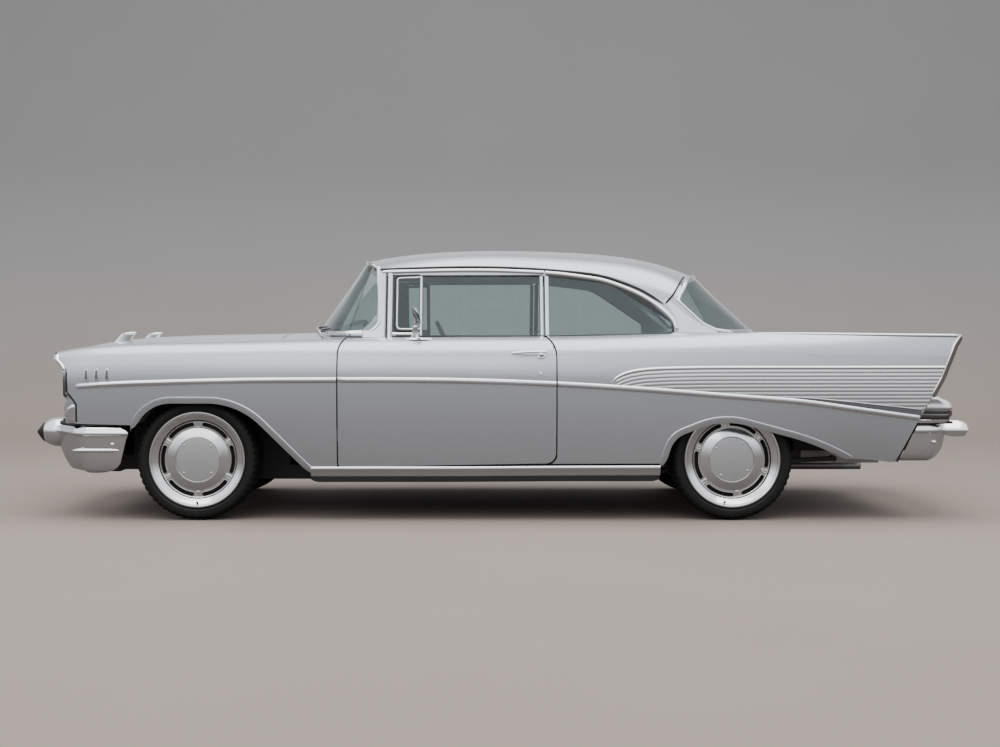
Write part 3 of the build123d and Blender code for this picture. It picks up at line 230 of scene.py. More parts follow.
def tapered(count, first, last, floor=0.15):
    """Scale along a path that rises from floor over its first share and falls over its last."""
    t = np.linspace(0, 1, count)
    rise = np.clip(t / first, 0, 1) if first else np.ones(count)
    fall = np.clip((1 - t) / last, 0, 1) if last else np.ones(count)
    return floor + (1 - floor) * np.sqrt(np.minimum(rise, fall))


def linked(name, data):
    """A new object in the scene for a mesh, a camera or a lamp."""
    obj = bpy.data.objects.new(name, data)
    bpy.context.scene.collection.objects.link(obj)
    return obj


def raw_object(name, points, faces):
    """A bare mesh object, from points in millimetres."""
    mesh = bpy.data.meshes.new(name)
    mesh.from_pydata((np.asarray(points) * MM).tolist(), [], faces)
    return linked(name, mesh)


def piece(name, shape, material, body="body", slot=None, crease=38.0, replaces=()):
    """Puts a shape, in millimetres, into a mesh whose faces point outwards, and rides it on a body. The slot
    argument is not used."""
    obj = raw_object(name, *shape)
    mesh = obj.data
    bm = bmesh.new()
    bm.from_mesh(mesh)
    bmesh.ops.remove_doubles(bm, verts=bm.verts, dist=2e-5)
    bmesh.ops.dissolve_degenerate(bm, edges=bm.edges, dist=1e-6)
    bmesh.ops.recalc_face_normals(bm, faces=bm.faces)
    bm.to_mesh(mesh)
    bm.free()
    mesh.polygons.foreach_set("use_smooth", np.ones(len(mesh.polygons), bool))
    mesh.set_sharp_from_angle(angle=math.radians(crease))
    mesh.materials.append(material)
    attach(obj, body)
    if replaces:
        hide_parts(*replaces)
    return obj


# ---- the surfaces that the trim sits on ----
def body_rows(x):
    """The columns of BODY_SIDE after the first, at any x."""
    return spline(BODY_SIDE[:, 0], BODY_SIDE[:, 1:], x)


def body_half_width(x, z):
    """Half-width of the body side: a circle below and one above the widest line, and a crown arc that leaves
    the upper circle smoothly at the shoulder and ends at the top edge."""
    z_bot, w_bot, z_mid, w_mid, z_sh, w_sh, z_top, w_top, *_ = np.moveaxis(body_rows(x), -1, 0)
    r_low = ((w_mid - w_bot) ** 2 + (z_mid - z_bot) ** 2) / (2 * (w_mid - w_bot))
    r_up = ((w_mid - w_sh) ** 2 + (z_sh - z_mid) ** 2) / (2 * (w_mid - w_sh))
    low = w_mid - r_low + np.sqrt(np.maximum(r_low ** 2 - (z - z_mid) ** 2, 0))
    up = w_mid - r_up + np.sqrt(np.maximum(r_up ** 2 - (z - z_mid) ** 2, 0))
    s = (z_sh - z_mid) / r_up
    c = np.sqrt(1 - s ** 2)
    dw, dz = w_top - w_sh, z_top - z_sh
    r_crown = -(dw ** 2 + dz ** 2) / (2 * (dw * c + dz * s))
    crown = w_sh - r_crown * c + np.sqrt(np.maximum(r_crown ** 2 - (z - z_sh + r_crown * s) ** 2, 0))
    return np.where(z < z_mid, low, np.where(z < z_sh, up, crown))


def house_half_width(x, z):
    """Half-width of the leaning side glass, a plane from the belt to the drip rail."""
    return W_BELT + (W_DRIP - W_BELT) * (z - Z_BELT) / HOUSE_RISE + 0 * x


def on_side(line, surface, out=0.0):
    """A side-view line of (x, z) set on the left side, standing out from the surface, with its normals."""
    x, z = np.asarray(line, float)[..., 0], np.asarray(line, float)[..., 1]
    d = 1.0
    slope_x = (surface(x + d, z) - surface(x - d, z)) / (2 * d)
    slope_z = (surface(x, z + d) - surface(x, z - d)) / (2 * d)
    normal = unit(cols(-slope_x, -np.ones_like(x), -slope_z))
    return cols(x, -surface(x, z), z) + out * normal, normal


def side_moulding(line, section, surface=body_half_width, scale=1.0):
    """A moulding's section carried along a side-view line on the left side."""
    path, normal = on_side(line, surface)
    return sweep(path, section, normal, scale)


def both_sides(name, shape, material, body="body", slot=None, **more):
    """A left-hand shape and its mirror image, each on its own body, as in door_{}."""
    for side, hand in SIDES:
        piece(f"{name}_{hand}", mirrored(shape, side), material, body.format(hand), slot, **more)


# ---- shader maths ----
class Sock:
    """A node's output that reads like a number: each operator adds the Math node that works it out."""

    def __init__(self, tree, out):
        self.tree, self.out = tree, out

    def _math(self, operation, a, b=None):
        n = self.tree.nodes.new("ShaderNodeMath")
        n.operation = operation
        for i, v in enumerate((a, b)):
            if isinstance(v, Sock):
                self.tree.links.new(v.out, n.inputs[i])
            elif v is not None:
                n.inputs[i].default_value = v
        return Sock(self.tree, n.outputs[0])

    def __add__(self, o): return self._math("ADD", self, o)
    def __radd__(self, o): return self._math("ADD", o, self)
    def __sub__(self, o): return self._math("SUBTRACT", self, o)
    def __rsub__(self, o): return self._math("SUBTRACT", o, self)
    def __mul__(self, o): return self._math("MULTIPLY", self, o)
    def __rmul__(self, o): return self._math("MULTIPLY", o, self)
    def __pow__(self, o): return self._math("POWER", self, o)
    def sin(self): return self._math("SINE", self)
    def least(self, o): return self._math("MINIMUM", self, o)
    def most(self, o): return self._math("MAXIMUM", self, o)


class Finish:
    """A material being mixed: one Principled shader, and the nodes that feed it."""

    def __init__(self, name, color=(0.5, 0.5, 0.5), roughness=0.5, metallic=0.0, **sockets):
        self.mat = bpy.data.materials.new(name)
        self.mat.use_nodes = True
        self.tree = self.mat.node_tree
        self.shader = self.tree.nodes["Principled BSDF"]
        self.set(Base_Color=color, Roughness=roughness, Metallic=metallic, **sockets)

    def _fill(self, node, values):
        for key, value in values.items():
            socket = node.inputs[int(key[1:]) if key[0] == "_" else key.replace("_", " ")]
            if isinstance(value, Sock):
                self.tree.links.new(value.out, socket)
            elif isinstance(value, tuple) and socket.type == "RGBA" and len(value) == 3:
                socket.default_value = (*value, 1.0)
            else:
                socket.default_value = value

    def set(self, **sockets):
        """Puts constants or links on the shader's own sockets."""
        self._fill(self.shader, sockets)

    def node(self, kind, settings=(), output=0, **sockets):
        """Adds a node: its settings first, then its sockets by name, or by number as _0, _1 and so on."""
        n = self.tree.nodes.new("ShaderNode" + kind)
        for key, value in dict(settings).items():
            if key == "stops":
                elements = n.color_ramp.elements
                for i, (at, colour) in enumerate(value):
                    e = elements[i] if i < 2 else elements.new(at)
                    e.position, e.color = at, (*colour, 1.0)
            else:
                setattr(n, key, value)
        self._fill(n, sockets)
        return Sock(self.tree, n.outputs[output])

    def place(self, scale=(1, 1, 1)):
        """Object coordinates, stretched by scale."""
        return self.node("Mapping", Vector=self.node("TexCoord", output="Object"), Scale=scale)

    def axis(self, name):
        """One Object coordinate as a number."""
        return self.node("SeparateXYZ", output=name, Vector=self.node("TexCoord", output="Object"))

    def noise(self, size, stretch=(1, 1, 1), detail=3.0, roughness=0.5):
        """Noise from 0 to 1 whose lumps are about size metres across, times stretch along each axis."""
        s = tuple(1 / (size * c) for c in stretch)
        return self.node("TexNoise", Vector=self.place(s), Scale=1.0, Detail=detail, Roughness=roughness)

    def blend(self, factor, a, b):
        """Colour a where factor is 0 and colour b where it is 1."""
        return self.node("Mix", {"data_type": "RGBA"}, output=2, _0=factor, _6=a, _7=b)

    def bump(self, height, distance, strength=1.0):
        """Raises the surface by height times distance, in metres."""
        self.set(Normal=self.node("Bump", Height=height, Distance=distance, Strength=strength))


def silver_paint():
    """Metallic silver under clear coat, with fine flake. Low down it is painted darker and browner, a painted
    reflection of the ground, and it is also duller there.
    """
    f = Finish("silver_paint", (0.50, 0.525, 0.56), 0.33, 0.72, Coat_Weight=1.0, Coat_Roughness=0.05)
    flake = f.noise(0.0012, detail=1.0)
    cloud = f.noise(0.9, detail=2.0)
    # painted reflection: the lower body is blended toward the brown of the ground that it reflects
    low = (0.62 - f.axis("Z")).most(0.0) * 0.6
    tone = f.blend(cloud, (0.455, 0.475, 0.505), (0.49, 0.51, 0.54))
    f.set(Base_Color=f.blend(low, tone, (0.30, 0.285, 0.27)))
    f.set(Roughness=0.26 + flake * 0.10 + low * 0.2)
    return f.mat


def mirror_metal(name, dark, light, roughness, size=0.05, spread=0.07):
    """Plated or polished metal: a mirror with a few faint hazy patches."""
    f = Finish(name, light, roughness, 1.0)
    haze = f.noise(size, detail=4.0)
    f.set(Roughness=roughness + haze * spread, Base_Color=f.blend(haze, light, dark))
    return f.mat


def brushed_aluminium():
    """Anodised sheet rolled along the car: fine lengthwise scratches vary its dullness and relief."""
    f = Finish("ribbed_aluminium", (0.72, 0.72, 0.73), 0.34, 1.0)
    streak = f.noise(0.0015, (60, 1, 1), 3.0)
    blotch = f.noise(0.12, detail=3.0)
    f.set(Base_Color=f.blend(blotch, (0.68, 0.68, 0.69), (0.78, 0.78, 0.79)), Roughness=0.24 + streak * 0.18)
    f.bump(streak, 0.0001)
    return f.mat


def plain_metal(name, dark, light, roughness, size=0.02, metallic=0.9):
    """Rolled or cast metal whose tone and dullness drift, with a fine grain."""
    f = Finish(name, dark, roughness, metallic)
    grain = f.noise(size, detail=5.0)
    f.set(Base_Color=f.blend(grain, dark, light), Roughness=roughness - 0.1 + grain * 0.2)
    f.bump(grain, 0.0004)
    return f.mat


def window_glass():
    """Green-tinted safety glass with the faintest smears, deeper in tone where it is looked along."""
    straight, along_it = (0.655, 0.80, 0.785), (0.10, 0.16, 0.145)
    f = Finish("green_glass", straight, 0.0, 0.0, Transmission_Weight=1.0, IOR=1.5, Specular_IOR_Level=0.25)
    slant = f.node("LayerWeight", output="Facing", Blend=0.5) ** 2
    f.set(Roughness=f.noise(0.25, detail=3.0) * 0.03,
          Base_Color=f.blend(slant.least(1.0), straight, along_it))
    return f.mat


def shaded_edge():
    """A painted shade for the glass where the windscreen bends away: an opaque dark green tone, as the glass
    looks with the car's shaded inside behind it, glossy and faintly clouded.
    """
    f = Finish("shaded_glass_edge", (0.20, 0.26, 0.25), 0.08, 0.0, Coat_Weight=1.0, Coat_Roughness=0.02)
    f.set(Base_Color=f.blend(f.noise(0.2), (0.19, 0.25, 0.24), (0.22, 0.28, 0.265)))
    return f.mat


def soft_solid(name, tone, roughness, size=0.004, depth=0.0003, drift=0.25):
    """Rubber, underseal or moulded plastic: a fine grain in its tone, dullness and relief."""
    f = Finish(name, tone, roughness)
    grain = f.noise(size, detail=4.0)
    dark, light = (tuple(c * k for c in tone) for k in (1 - drift, 1 + drift))
    f.set(Base_Color=f.blend(grain, dark, light), Roughness=roughness - 0.08 + grain * 0.16)
    f.bump(grain, depth)
    return f.mat


def tyre_rubber():
    """Black rubber: dusty and a little browner in patches, with fine mould marks in its relief."""
    f = Finish("tyre_rubber", (0.006, 0.006, 0.0065), 0.6, 0.0, Specular_IOR_Level=0.3)
    dust = f.noise(0.03, detail=5.0)
    mould = f.noise(0.0025, detail=2.0)
    f.set(Base_Color=f.blend(dust, (0.004, 0.004, 0.0045), (0.011, 0.0105, 0.010)),
          Roughness=0.5 + dust * 0.25)
    f.bump(mould, 0.00025)
    return f.mat


def woven_cloth(name, warp, weft, pitch=0.0022):
    """Seat cloth: threads over and under each other, a sine along each axis, with a heathered tone."""
    f = Finish(name, warp, 0.85, 0.0, Sheen_Weight=0.35, Sheen_Roughness=0.5)
    turn = 2 * math.pi / pitch
    x, y, z = (f.axis(a) for a in "XYZ")
    over = (x * turn + z * turn).sin() * (y * turn).sin()
    heather = f.noise(0.006, detail=3.0)
    f.set(Base_Color=f.blend((over * 0.5 + 0.5) * 0.6 + heather * 0.4, warp, weft))
    f.bump(over, 0.0004)
    return f.mat


def carpet():
    """Loop-pile carpet: close lumps with a speckled tone."""
    f = Finish("floor_carpet", (0.05, 0.052, 0.055), 0.95, 0.0, Sheen_Weight=0.3)
    pile = f.noise(0.004, detail=2.0)
    f.set(Base_Color=f.blend(pile, (0.025, 0.027, 0.03), (0.09, 0.092, 0.096)))
    f.bump(pile, 0.002)
    return f.mat


def fluted_lens(name, colour, pitch, metallic=0.0):
    """A pressed lens: straight flutes across it, as a sine of its width, under a hard gloss."""
    f = Finish(name, colour, 0.12, metallic, Coat_Weight=1.0, Coat_Roughness=0.03)
    flute = (f.axis("Y") * (2 * math.pi / pitch)).sin()
    # painted shade: each flute's valley, where the bump is low, is darker
    shade = tuple(c * 0.7 for c in colour)
    f.set(Base_Color=f.blend(flute * 0.5 + 0.5, shade, colour))
    f.bump(flute, 0.0012)
    return f.mat


PAINT = silver_paint()
CHROME = mirror_metal("bright_chrome", (0.80, 0.805, 0.81), (0.90, 0.905, 0.91), 0.035)
BRIGHT_TRIM = mirror_metal("polished_stainless", (0.74, 0.74, 0.745), (0.84, 0.84, 0.845), 0.12, 0.09, 0.08)
RIBBED = brushed_aluminium()
ALLOY = mirror_metal("polished_alloy", (0.74, 0.735, 0.73), (0.84, 0.835, 0.83), 0.10, 0.06, 0.10)
ALLOY_SATIN = mirror_metal("satin_alloy", (0.66, 0.66, 0.66), (0.72, 0.72, 0.72), 0.30, 0.02, 0.08)
FRAME_BLACK = soft_solid("frame_black", (0.02, 0.02, 0.02), 0.55)
# painted reflection: a dark grey for the fin's recessed body paint, for what that recess reflects
WEDGE_PAINTED_REFLECTION = soft_solid("painted_reflection_wedge", (0.10, 0.10, 0.11), 0.35, 0.003, 0.0001)
GASKET = soft_solid("gasket_rubber", (0.006, 0.006, 0.006), 0.6, 0.002, 0.0002)
IRON = plain_metal("cast_iron", (0.10, 0.10, 0.10), (0.17, 0.16, 0.15), 0.6)
STEEL = plain_metal("bare_steel", (0.35, 0.34, 0.33), (0.50, 0.49, 0.47), 0.4)
LINING = soft_solid("dark_lining", (0.022, 0.024, 0.025), 0.5)
GLASS = window_glass()
# painted shade: chrome given a dark tone, for chrome faces and slot insides that lie in shade
PAINTED_SHADE_CHROME = mirror_metal("chrome_in_painted_shade", (0.16, 0.16, 0.155), (0.22, 0.22, 0.215), 0.2)
# painted reflection: chrome darkened and browned, standing in for the dark ground that it reflects
GROUND_REFLECTION_CHROME = mirror_metal("chrome_painted_ground_reflection", (0.47, 0.435, 0.41), (0.54, 0.505, 0.48), 0.08)
RUBBER = tyre_rubber()
PAINTED_SHADE_GLASS = shaded_edge()
CLOTH = woven_cloth("seat_cloth", (0.055, 0.058, 0.065), (0.16, 0.165, 0.175))
CLOTH_PALE = woven_cloth("bolster_cloth", (0.42, 0.43, 0.44), (0.56, 0.565, 0.57), 0.0016)
CARPET = carpet()
PLASTIC = soft_solid("ivory_plastic", (0.42, 0.42, 0.40), 0.32, 0.01, 0.0001, 0.06)
WHEEL_PLASTIC = soft_solid("wheel_plastic", (0.05, 0.055, 0.06), 0.3, 0.01, 0.0001, 0.06)
LENS_RED = fluted_lens("tail_lens", (0.42, 0.012, 0.010), 0.006)
LENS_CLEAR = fluted_lens("lamp_glass", (0.80, 0.82, 0.83), 0.011, 0.55)
DASH_PAINT = soft_solid("dash_paint", (0.11, 0.115, 0.125), 0.38, 0.003, 0.0001, 0.1)

SLOT_FINISH = {
    "body_paint": PAINT, "frame_black": FRAME_BLACK, "floor_black": CARPET, "engine_iron": IRON,
    "exhaust_steel": STEEL, "tank_steel": STEEL, "tinted_glass": GLASS, "grille_metal": BRIGHT_TRIM,
    "bright_chrome": CHROME, "lamp_glass": CHROME, "tail_lens": LENS_RED, "dash_paint": DASH_PAINT,
    "seat_cloth": CLOTH, "steering_plastic": PLASTIC, "wheel_metal": ALLOY, "tyre_rubber": RUBBER,
}
for part in frame["record"]["subparts"]:
    node = frame["nodes"][part["node"]]
    node.data.materials.clear()
    node.data.materials.append(SLOT_FINISH[part["material_slot"]])


# ---- side mouldings ----
MOULDING_STEP = 14.0
PEAKED = [(-15, 0.6), (-13.5, 3.2), (-8, 6.6), (-2, 7.5), (0, 7.7), (2, 7.5), (8, 6.6), (13.5, 3.2),
          (15, 0.6), (15, -4), (-15, -4)]


def clip_line(line, x0, x1):
    """The part of a side-view line between two places along the car."""
    line = along(line, MOULDING_STEP)
    x = np.concatenate([[x0], line[(line[:, 0] > x0) & (line[:, 0] < x1), 0], [x1]])
    return cols(x, np.interp(x, line[:, 0], line[:, 1]))


def flat_at(count, first, last, low=0.2):
    """Share of a moulding's proud height along it: low at an end that has a run-in, and 1 away from it."""
    t = np.arange(count) * MOULDING_STEP
    rise = np.clip(t / first, 0, 1) if first else np.ones(count)
    fall = np.clip((t[-1] - t) / last, 0, 1) if last else np.ones(count)
    return low + (1 - low) * np.minimum(rise, fall)


def moulding_piece(name, line, section, body="body", taper=(0, 0), run_in=(0, 0), material=None):
    """A bright moulding on both sides of the car: taper narrows its ends, and run_in flattens them."""
    path, normal = on_side(line, body_half_width)
    n = len(path)
    section = np.asarray(section, float)
    t, s = unit(np.gradient(path, axis=0)), tapered(n, *taper).reshape(-1, 1, 1)
    normal = unit(normal - (normal * t).sum(1, keepdims=True) * t)
    across = np.cross(normal, t)
    rise = flat_at(n, *run_in).reshape(-1, 1, 1)
    proud = np.where(section[None, :, 1:] > 0, section[None, :, 1:] * rise, section[None, :, 1:])
    grid = path[:, None] + across[:, None] * section[None, :, :1] * s + normal[:, None] * proud * s
    both_sides(name, loft(grid), material or BRIGHT_TRIM, body, "bright_chrome")


spear_line = through(SPEAR, 260)
moulding_piece("spear_fender", clip_line(spear_line, XF - 646, X_DOOR_FRONT - GAP - 1), PEAKED, "body",
               (0.02, 0))
moulding_piece("spear_door", clip_line(spear_line, X_DOOR_FRONT + 1, X_DOOR_REAR - 1), PEAKED, "door_{}",
               run_in=(60, 0))
moulding_piece("spear_quarter", clip_line(spear_line, X_DOOR_REAR + GAP + 1, XR + 986), PEAKED)

FIN_SPEAR = [(606, 744), (622, 762), (650, 780), (703, 799), (783, 812), (916, 819), (1076, 822), (1342, 823),
             (1609, 823), (2000, 823), (2389, 823)]
FIN_SECTION = dome_section(19, 6.5, 4, 0.2)
moulding_piece("spear_fin", through(FIN_SPEAR, 170), FIN_SECTION, "body", (0.05, 0))


def fin_edge_x(z):
    """Where the fin's slanted rear edge lies at height z."""
    return np.interp(z, [519, 766, 940, 992], [XR + 973, XR + 1112, XR + 1188, XR + 1226])


def ribbed_panel():
    """The anodised panel on the fin: height is measured down from the upper spear, and the face stands out by
    a rounded rib, the root of (1 + cos) / 2 of the height over the pitch, until the lower edge ends it."""
    pitch, depth, lift = 20.0, 1.5, 1.2
    x = np.linspace(630, XR + 1138, 68)
    top = np.interp(x, *np.array(FIN_SPEAR).T)
    spear_top = np.interp(x, *spear_line.T) + 12
    wedge = np.interp(x, [1560, 1640, 1884, 2150, 2262], [0, 13, 26, 34, 36])
    low = spear_top + wedge
    drop = np.minimum(np.linspace(0, 1, 136)[None] * 232, (top - low)[:, None])
    z = top[:, None] - drop
    x_row = np.minimum(x[:, None], fin_edge_x(z) - 3)
    rib = lift + depth * (0.5 + 0.5 * np.cos(2 * math.pi * drop / pitch)) ** 0.5
    line = cols(x_row, z)
    base, normal = on_side(line, body_half_width)
    return slab(base + normal * rib[..., None], base - normal * 2)


both_sides("fin_panel", ribbed_panel(), RIBBED, crease=60)


def panel_wedge():
    """The tapering strip between the ribbed panel and the main spear, whose dark grey is a painted reflection
    in the recessed body paint there, and the line of its upper edge.
    """
    x = np.linspace(1575, 2262, 60)
    low = np.interp(x, *spear_line.T) + 13
    high = low + np.interp(x, [1560, 1640, 1884, 2150, 2262], [0, 12, 24, 32, 34])
    z = low[:, None] + (high - low)[:, None] * np.linspace(0, 1, 5)[None]
    base, normal = on_side(cols(x[:, None], z), body_half_width)
    return slab(base + normal * 1.0, base - normal * 2), cols(x, high)


wedge_shape, wedge_top = panel_wedge()
# painted reflection: the recess in the body paint is coloured dark grey for what it reflects
both_sides("fin_wedge", wedge_shape, WEDGE_PAINTED_REFLECTION, slot="body_paint")
moulding_piece("fin_wedge_edge", wedge_top, dome_section(6, 3.5, 3, 0.3, 5), "body", (0.1, 0))


def top_edge_path(x, inset, lift=0.0):
    """Points along the fin's top edge, inset from its outer corner."""
    rows = body_rows(x)
    return cols(x, -(rows[:, 7] - inset), rows[:, 6] + lift)


fin_top = top_edge_path(np.linspace(XR - 40, XR + 1222, 110), 8, -7)
both_sides("fin_top_strip", sweep(fin_top, oval(34, 22, 16, 3.0), (0, 0, 1), tapered(110, 0.25, 0.015, 0.12)),
           BRIGHT_TRIM)


def fin_rear_strip():
    """The bright strip down the fin's rear edge: a bar whose flat face looks out, back and a little down."""
    z = np.linspace(668, 988, 50)
    x = fin_edge_x(z) + 6
    y = -(body_half_width(np.minimum(x, XR + 1235), z) - 1)
    bar = [(-16, -2), (-14.5, 1.6), (0, 3), (14.5, 1.6), (16, -2), (14, -22), (-14, -22)]
    return sweep(cols(x, y, z), bar, (0.42, -1, -0.40), tapered(50, 0.03, 0.05, 0.6))


# painted reflection: the strip's chrome is darkened and browned for the ground that it reflects
both_sides("fin_rear_strip", fin_rear_strip(), GROUND_REFLECTION_CHROME)


# ---- sill and wheel openings ----
# the sill moulding runs between the wheel openings, under the doors
SILL = [(XF + 616, 266), (XF + 900, 267), (XF + 1400, 268), (XF + 1900, 271), (XR - 394, 273)]
SILL_SECTION = [(-28, 0.6), (-25, 3.5), (-20, 4.5), (4, 5), (8, 7), (14, 8.5), (20, 7.5), (25, 4.5),
                (28, 0.6), (28, -4), (-28, -4)]
moulding_piece("sill_moulding", through(SILL, 120), SILL_SECTION)
# painted shade: a black strip along the body's lower edge under the sill moulding, where shade falls
moulding_piece("sill_painted_shade", through([(x, z - 41) for x, z in SILL], 120),
               dome_section(34, 1.5, 3, 0.5, 5), "body", (0.02, 0.02), material=FRAME_BLACK)

LIP = [(-24, -1.5), (-18, 0.4), (-10, 2.4), (-3, 4.3), (4, 5.2), (9, 4.4), (12, 1.0), (12, -10), (8, -14),
       (3, -6), (-24, -6)]


def arch_lip(outline):
    """The lip along a wheel opening, down to where the bumper or the sill takes over."""
    line = along(rounded(outline, arc=16), 16)
    line = line[line[:, 1] > np.where(line[:, 0] < XF, 492, 250)]
    path, normal = on_side(line, body_half_width)
    return sweep(path, LIP, normal, tapered(len(path), 0.04, 0.04, 0.3))


for end, outline in (("front", FRONT_ARCH), ("rear", REAR_ARCH)):
    both_sides(f"arch_lip_{end}", arch_lip(outline), PAINT)


# ---- window surrounds ----
def house_moulding(name, line, section, body="body", material=None, taper=(0, 0), lined=False):
    """A moulding on the leaning side glass, with a dark strip behind it where it is lined."""
    path, normal = on_side(along(line, 12), house_half_width)
    both_sides(name, sweep(path, section, normal, tapered(len(path), *taper)), material or BRIGHT_TRIM, body,
               "bright_chrome")
    if lined:
        width = np.ptp(np.asarray(section)[:, 0]) + 7
        both_sides(f"{name}_lining", sweep(path - normal * 17, dome_section(width, 3, 5, 0.6, 5), normal),
                   LINING, body)


RAIL_FRONT = [(-640, 1346), (-261, 1355), (16, 1354), (258, 1344)]
RAIL_REAR = [(266, 1343), (345, 1336), (457, 1322), (576, 1302), (690, 1264), (807, 1208), (880, 1158),
             (938, 1106), (972, 1058), (978, 1016)]
house_moulding("rail_front", through(RAIL_FRONT, 70), dome_section(24, 9, 8, 0.3), taper=(0.02, 0))
house_moulding("rail_rear", through(RAIL_REAR, 80), dome_section(25, 9, 8, 0.3), taper=(0, 0.03))
GUTTER_LINE = [(-652, 1358), (-261, 1371), (16, 1370), (264, 1358), (457, 1341), (568, 1325), (690, 1287),
               (790, 1245), (865, 1200), (915, 1165)]
house_moulding("rail_shadow", through(GUTTER_LINE, 120), dome_section(14, 8, 8, 0.6, 5), material=GASKET,
               taper=(0.01, 0.05))
SEAL = dome_section(9, 2.5, 7, 0.6, 5)
house_moulding("door_glass_seal", [(-560, 1324), (250, 1326)], SEAL, material=GASKET)

POST = dome_section(24, 8, 6, 0.35)
house_moulding("vent_post", [(-589, 975), (-589, 1334)], POST, "door_{}")
THIN = dome_section(9, 5, 5, 0.4, 7)
house_moulding("vent_frame", rounded([(-425, 1030, 0), (-550, 1030, 18), (-550, 1312, 14), (-425, 1316, 0)]),
               THIN, "door_{}", lined=True)
house_moulding("vent_seal", rounded([(-428, 1019, 0), (-562, 1019, 20), (-562, 1324, 12), (-428, 1328, 0)]),
               dome_section(11, 4, 6, 0.6, 5), "door_{}", GASKET)
house_moulding("vent_sill", [(-574, 1003), (-428, 1003)], dome_section(18, 6, 6, 0.4), "door_{}", lined=True)
house_moulding("vent_divider", [(-418, 985), (-418, 1322)], dome_section(14, 7, 6, 0.35), "door_{}",
               lined=True)
house_moulding("door_glass_edge", [(243, 985), (243, 1322)], dome_section(15, 5, 5, 0.4), "door_{}",
               lined=True)
house_moulding("quarter_glass_edge", [(272, 985), (272, 1322)], dome_section(19, 5, 6, 0.4), lined=True)


def belt_seal(name, x0, x1, body="body"):
    """The black strip along the belt where the glass leaves the panel."""
    x = np.linspace(x0, x1, 60)
    rows = body_rows(x)
    y = -(house_half_width(x, rows[:, 8]) + 10)
    path = cols(x, y, rows[:, 8] + 4)
    both_sides(name, sweep(path, dome_section(10, 4, 5, 0.5, 5), (0, -0.5, 1)), GASKET, body, "bright_chrome")


belt_seal("door_belt_seal", X_DOOR_FRONT + 300, X_DOOR_REAR - 30, "door_{}")
belt_seal("quarter_belt_seal", X_DOOR_REAR + 30, 950)


# ---- wrapped glass ----
# height, then (x, half-width) of the glass at the middle, the bend, the corner and the free end
WINDSCREEN = [(975.0, (XF + 548, 0), (XF + 655, 560), (XF + 790, 735), (XF + 1000, 752)),
              (1440.0, (XF + 882, 0), (XF + 915, 470), (XF + 945, 560), (XF + 1010, 598))]
REAR_GLASS = [(985.0, (XR + 290, 0), (XR + 145, 430), (XR - 72, 690), (XR - 210, 742)),
              (1390.0, (XR - 160, 0), (XR - 200, 400), (XR - 270, 560), (XR - 390, 640))]


def plan_curve(middle, bend, corner, end, count=90):
    """Half of a wrapped glass in plan: a circle about the car's middle line, a circle that leaves it smoothly
    at the bend and passes the corner, and a straight run to the end."""
    (xm, _), (xb, yb), (xc, yc), (xe, ye) = middle, bend, corner, end
    turn = 1.0 if xb > xm else -1.0
    r1 = ((xb - xm) ** 2 + yb ** 2) / (2 * abs(xb - xm))
    a = math.asin(yb / r1)
    k = np.linspace(0, a, count // 3)
    first = cols(xm + turn * r1 * (1 - np.cos(k)), r1 * np.sin(k))
    normal = np.array([turn * math.cos(a), -math.sin(a)])
    d = np.array([xc - xb, yc - yb])
    r2 = (d @ d) / (2 * (d @ normal))
    centre = np.array([xb, yb]) + r2 * normal
    v0, v1 = np.array([xb, yb]) - centre, np.array([xc, yc]) - centre
    sweep_angle = math.atan2(v0[0] * v1[1] - v0[1] * v1[0], v0 @ v1)
    k = np.linspace(0, sweep_angle, count // 3)[1:, None]
    second = centre + v0 * np.cos(k) + np.array([-v0[1], v0[0]]) * np.sin(k)
    third = np.linspace((xc, yc), (xe, ye), count // 3)[1:]
    return np.concatenate([first, second, third])


def glass_point(rows, height, share):
    """A point on a wrapped glass: height in mm, and share of the way from the middle round to the end."""
    low, high = (plan_curve(*r[1:]) for r in rows)
    t = (np.asarray(height, float) - rows[0][0]) / (rows[1][0] - rows[0][0])
    at = np.asarray(share, float) * (len(low) - 1)
    plan = [np.stack([np.interp(at, np.arange(len(c)), c[:, k]) for k in (0, 1)], 1) for c in (low, high)]
    xy = plan[0] * (1 - t)[:, None] + plan[1] * t[:, None]
    return cols(xy[:, 0], -xy[:, 1], np.asarray(height, float))


def glass_share(rows, height, x):
    """The share of the way round at which a wrapped glass passes x, at each height."""
    low, high = (plan_curve(*r[1:]) for r in rows)
    t = ((np.asarray(height, float) - rows[0][0]) / (rows[1][0] - rows[0][0]))[:, None]
    xs = low[None, :, 0] * (1 - t) + high[None, :, 0] * t
    return np.argmin(np.abs(xs - np.asarray(x, float)[:, None]), 1) / (len(low) - 1)


def screen_moulding(rows, corners, inward, width, name, material=None, lift=5.0):
    """A moulding on a wrapped glass, along a side-view line of corners down its free end and its foot."""
    line = along(rounded(corners, arc=10), 14)
    points = glass_point(rows, line[:, 1], glass_share(rows, line[:, 1], line[:, 0]))
    points = through(points[::2], len(points))
    out = unit(cols(-inward * np.clip(np.abs(700 - np.abs(points[:, 1])) / 500, 0.05, 1),
                    points[:, 1] / 600, 0.35 + 0 * points[:, 2]))
    both_sides(name, sweep(points + out * lift, dome_section(width, 6, 8, 0.35), out),
               material or BRIGHT_TRIM, "body", "bright_chrome")


